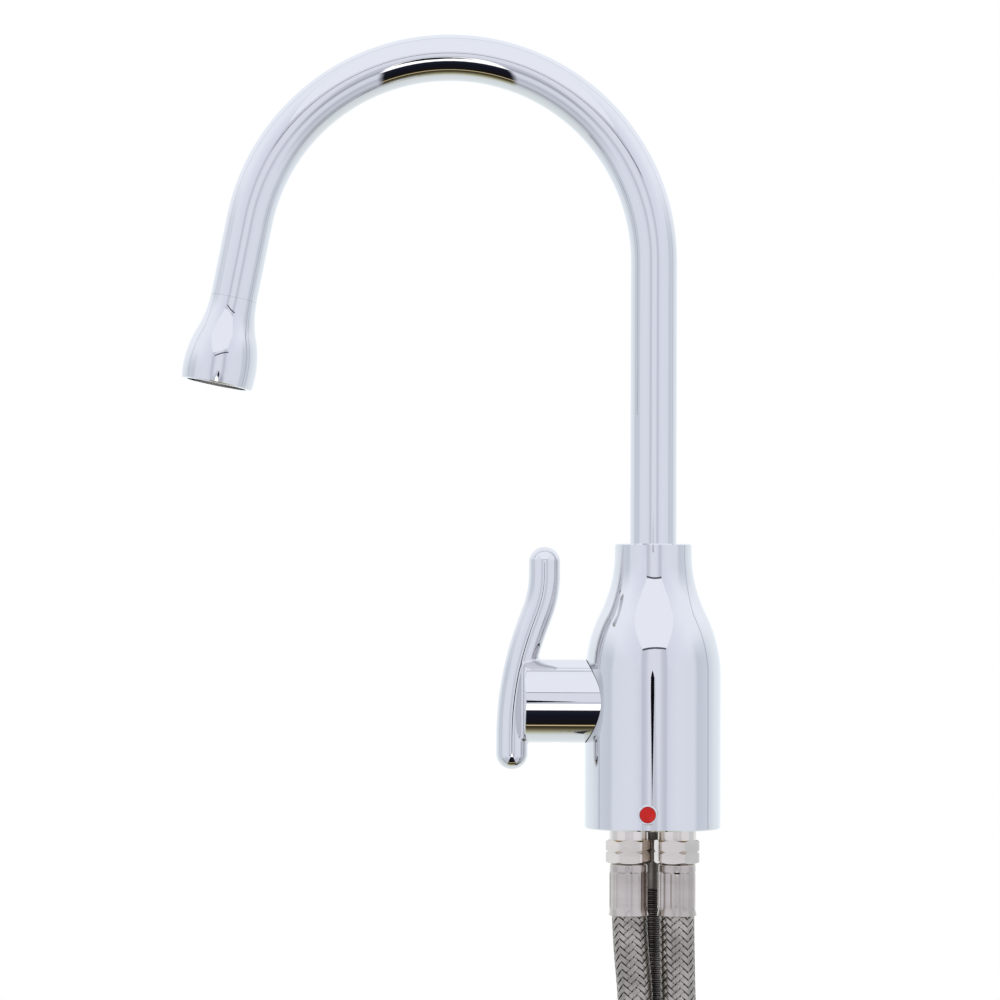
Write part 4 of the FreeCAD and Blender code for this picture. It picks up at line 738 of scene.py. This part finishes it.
# %% Braid sizes
CARRIERS = 12                    # ribbons each way round
BRAID_LEAD = 31.0 * MM           # along the tail for one turn of a ribbon
BRAID_MIDDLE = 5.62 * MM         # radius halfway between over and under
BRAID_SWING = 0.21 * MM          # from there to the middle of a ribbon
RIBBON_WIDTH = 1.68 * MM
WIRES = 5                        # in a ribbon
WIRE_PITCH = RIBBON_WIDTH / WIRES
RIBBON_HALF = 0.15 * MM          # half of its thickness
WIRE_VALLEY = 0.06 * MM          # from there down to the line where two wires meet
CROSSING = math.tau / (2 * CARRIERS)         # turn from one crossing to the next
FIRST_COLUMN = math.radians(-40.5)           # from the front, of a crossing
BRAID_LEAN = math.atan2(math.tau * BRAID_MIDDLE, BRAID_LEAD)
PLACES = (0.5, 1.2, 1.35, 1.5, 1.65, 1.8)    # in crossings, where a ribbon needs points
SWING_STEEPNESS = 2.2            # how quickly a ribbon goes from over to under

section = [(-RIBBON_WIDTH / 2, 0.0)]
for wire in range(WIRES):
    middle = (wire - (WIRES - 1) / 2) * WIRE_PITCH
    section.append((middle, RIBBON_HALF))
    section.append((middle + WIRE_PITCH / 2, RIBBON_HALF - WIRE_VALLEY))
section[-1] = (RIBBON_WIDTH / 2, 0.0)
section.append((0.0, -RIBBON_HALF))
SECTION = np.array(section)
print("a ribbon leans", round(math.degrees(BRAID_LEAN), 1), "degrees,", len(SECTION), "points")

# %% [markdown]
# A ribbon is laid out on a straight, flat tail first: how far along it is, how far round and
# how high. These helpers carry such a place over to the bent line of the real tail. The two
# directions across the line are carried along it without twisting, so that the columns of
# the weave stay on their own side. The Curve modifier could bend a straight braid instead,
# but it gives no say over twist.

# %% Places round a tail
def carried_frame(line):
    """Distance along a line, its points, and two directions across it that never twist."""
    along = np.gradient(line, axis=0)
    along /= np.linalg.norm(along, axis=1)[:, None]
    sideways = [np.array((1.0, 0.0, 0.0))]
    for direction_here in along:
        carried = sideways[-1] - direction_here * np.dot(sideways[-1], direction_here)
        sideways.append(carried / np.linalg.norm(carried))
    sideways = np.array(sideways[1:])
    steps = np.linalg.norm(np.diff(line, axis=0), axis=1)
    distance = np.concatenate([[0.0], np.cumsum(steps)])
    return distance, line, sideways, np.cross(along, sideways)


def round_tail(tail, distance, turn, radius):
    """Points at a distance along, a turn from the front and a radius from the line."""
    travelled, *columns = tail
    point, sideways, frontways = [
        np.stack([np.interp(distance, travelled, column[:, axis]) for axis in range(3)], -1)
        for column in columns]
    outward = np.sin(turn)[..., None] * sideways + np.cos(turn)[..., None] * frontways
    return point + np.asarray(radius)[..., None] * outward


def over_or_under(turn):
    """+1 where a ribbon that runs down to the right is over, -1 where it is under."""
    crossing = (turn - FIRST_COLUMN) / CROSSING
    return np.clip(SWING_STEEPNESS * np.cos(math.pi / 2 * (crossing - 0.5)), -1, 1)


def ribbon_points(tail, number, way):
    """The sections of one ribbon: way is +1 if it runs down to the right, -1 to the left."""
    length = tail[0][-1]
    turns_by = 2 * CARRIERS * length / BRAID_LEAD
    first = 2 * number if way > 0 else 2 * number - turns_by
    pairs = np.arange(math.floor(first / 2) - 1, math.ceil((first + turns_by) / 2) + 1) * 2
    crossing = (pairs[:, None] + np.array(PLACES)).ravel()
    crossing = crossing[(crossing >= first) & (crossing <= first + turns_by)]
    distance = way * (crossing - 2 * number) * BRAID_LEAD / (2 * CARRIERS)
    turn = FIRST_COLUMN + crossing * CROSSING
    middle = BRAID_MIDDLE + way * BRAID_SWING * over_or_under(turn)
    across, height = SECTION[:, 0], SECTION[:, 1]
    return round_tail(tail, distance[:, None] - way * across * math.sin(BRAID_LEAN),
                      turn[:, None] + across * math.cos(BRAID_LEAN) / BRAID_MIDDLE,
                      middle[:, None] + height)


left_tail = carried_frame(hose_lines["left"])
print("first ribbon:", ribbon_points(left_tail, 0, 1).shape, "sections, points, axes")

# %% [markdown]
# The ribbons of one direction are joined in one mesh, so that a tail's sleeve is two pieces.
# Each ribbon is a closed tube: rings of faces between its sections and a cap at each end.

# %% Weave both sleeves
STAINLESS_WIRE = metal("braided_stainless_wire", "#b8b1a8", "#9a948c", 0.27, 0.5, 0.004)


def tube_faces(sections, ring, start):
    """Faces of a closed tube whose rings of vertices begin at a vertex number."""
    faces = []
    for row in range(sections - 1):
        low, high = start + row * ring, start + (row + 1) * ring
        for place in range(ring):
            after = (place + 1) % ring
            faces.append((low + place, low + after, high + after, high + place))
    faces.append(tuple(start + place for place in reversed(range(ring))))
    faces.append(tuple(start + (sections - 1) * ring + place for place in range(ring)))
    return faces


def woven_ribbons(name, tail, way):
    """All ribbons that run one way round a tail, as one mesh piece."""
    vertices, faces = [], []
    for number in range(CARRIERS):
        points = ribbon_points(tail, number, way)
        faces += tube_faces(points.shape[0], points.shape[1], len(vertices))
        vertices += points.reshape(-1, 3).tolist()
    mesh = bpy.data.meshes.new(name)
    mesh.from_pydata(vertices, [], faces)
    build = bmesh.new()
    build.from_mesh(mesh)
    bmesh.ops.recalc_face_normals(build, faces=build.faces)
    build.to_mesh(mesh)
    build.free()
    mesh.polygons.foreach_set("use_smooth", [True] * len(mesh.polygons))
    mesh.materials.append(STAINLESS_WIRE)
    piece = bpy.data.objects.new(name, mesh)
    bpy.context.scene.collection.objects.link(piece)
    return piece


for side, hose in hoses.items():
    tail = carried_frame(hose_lines[side])
    braid = [woven_ribbons(f"hose_braid_{side}_{lay}", tail, way)
             for lay, way in (("s_lay", 1), ("z_lay", -1))]
    for ribbon_set in braid:
        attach(ribbon_set, "tap_body")
        print(ribbon_set.name, len(ribbon_set.data.polygons), "faces")
    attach(hose, "tap_body")
    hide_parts(f"hose_{side}")
    fittings = [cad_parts[f"{piece}_{side}"]
                for piece in ("end_insert", "end_washer", "hose_nut")]
    fittings.append(sleeves[f"end_ferrule_{side}"])
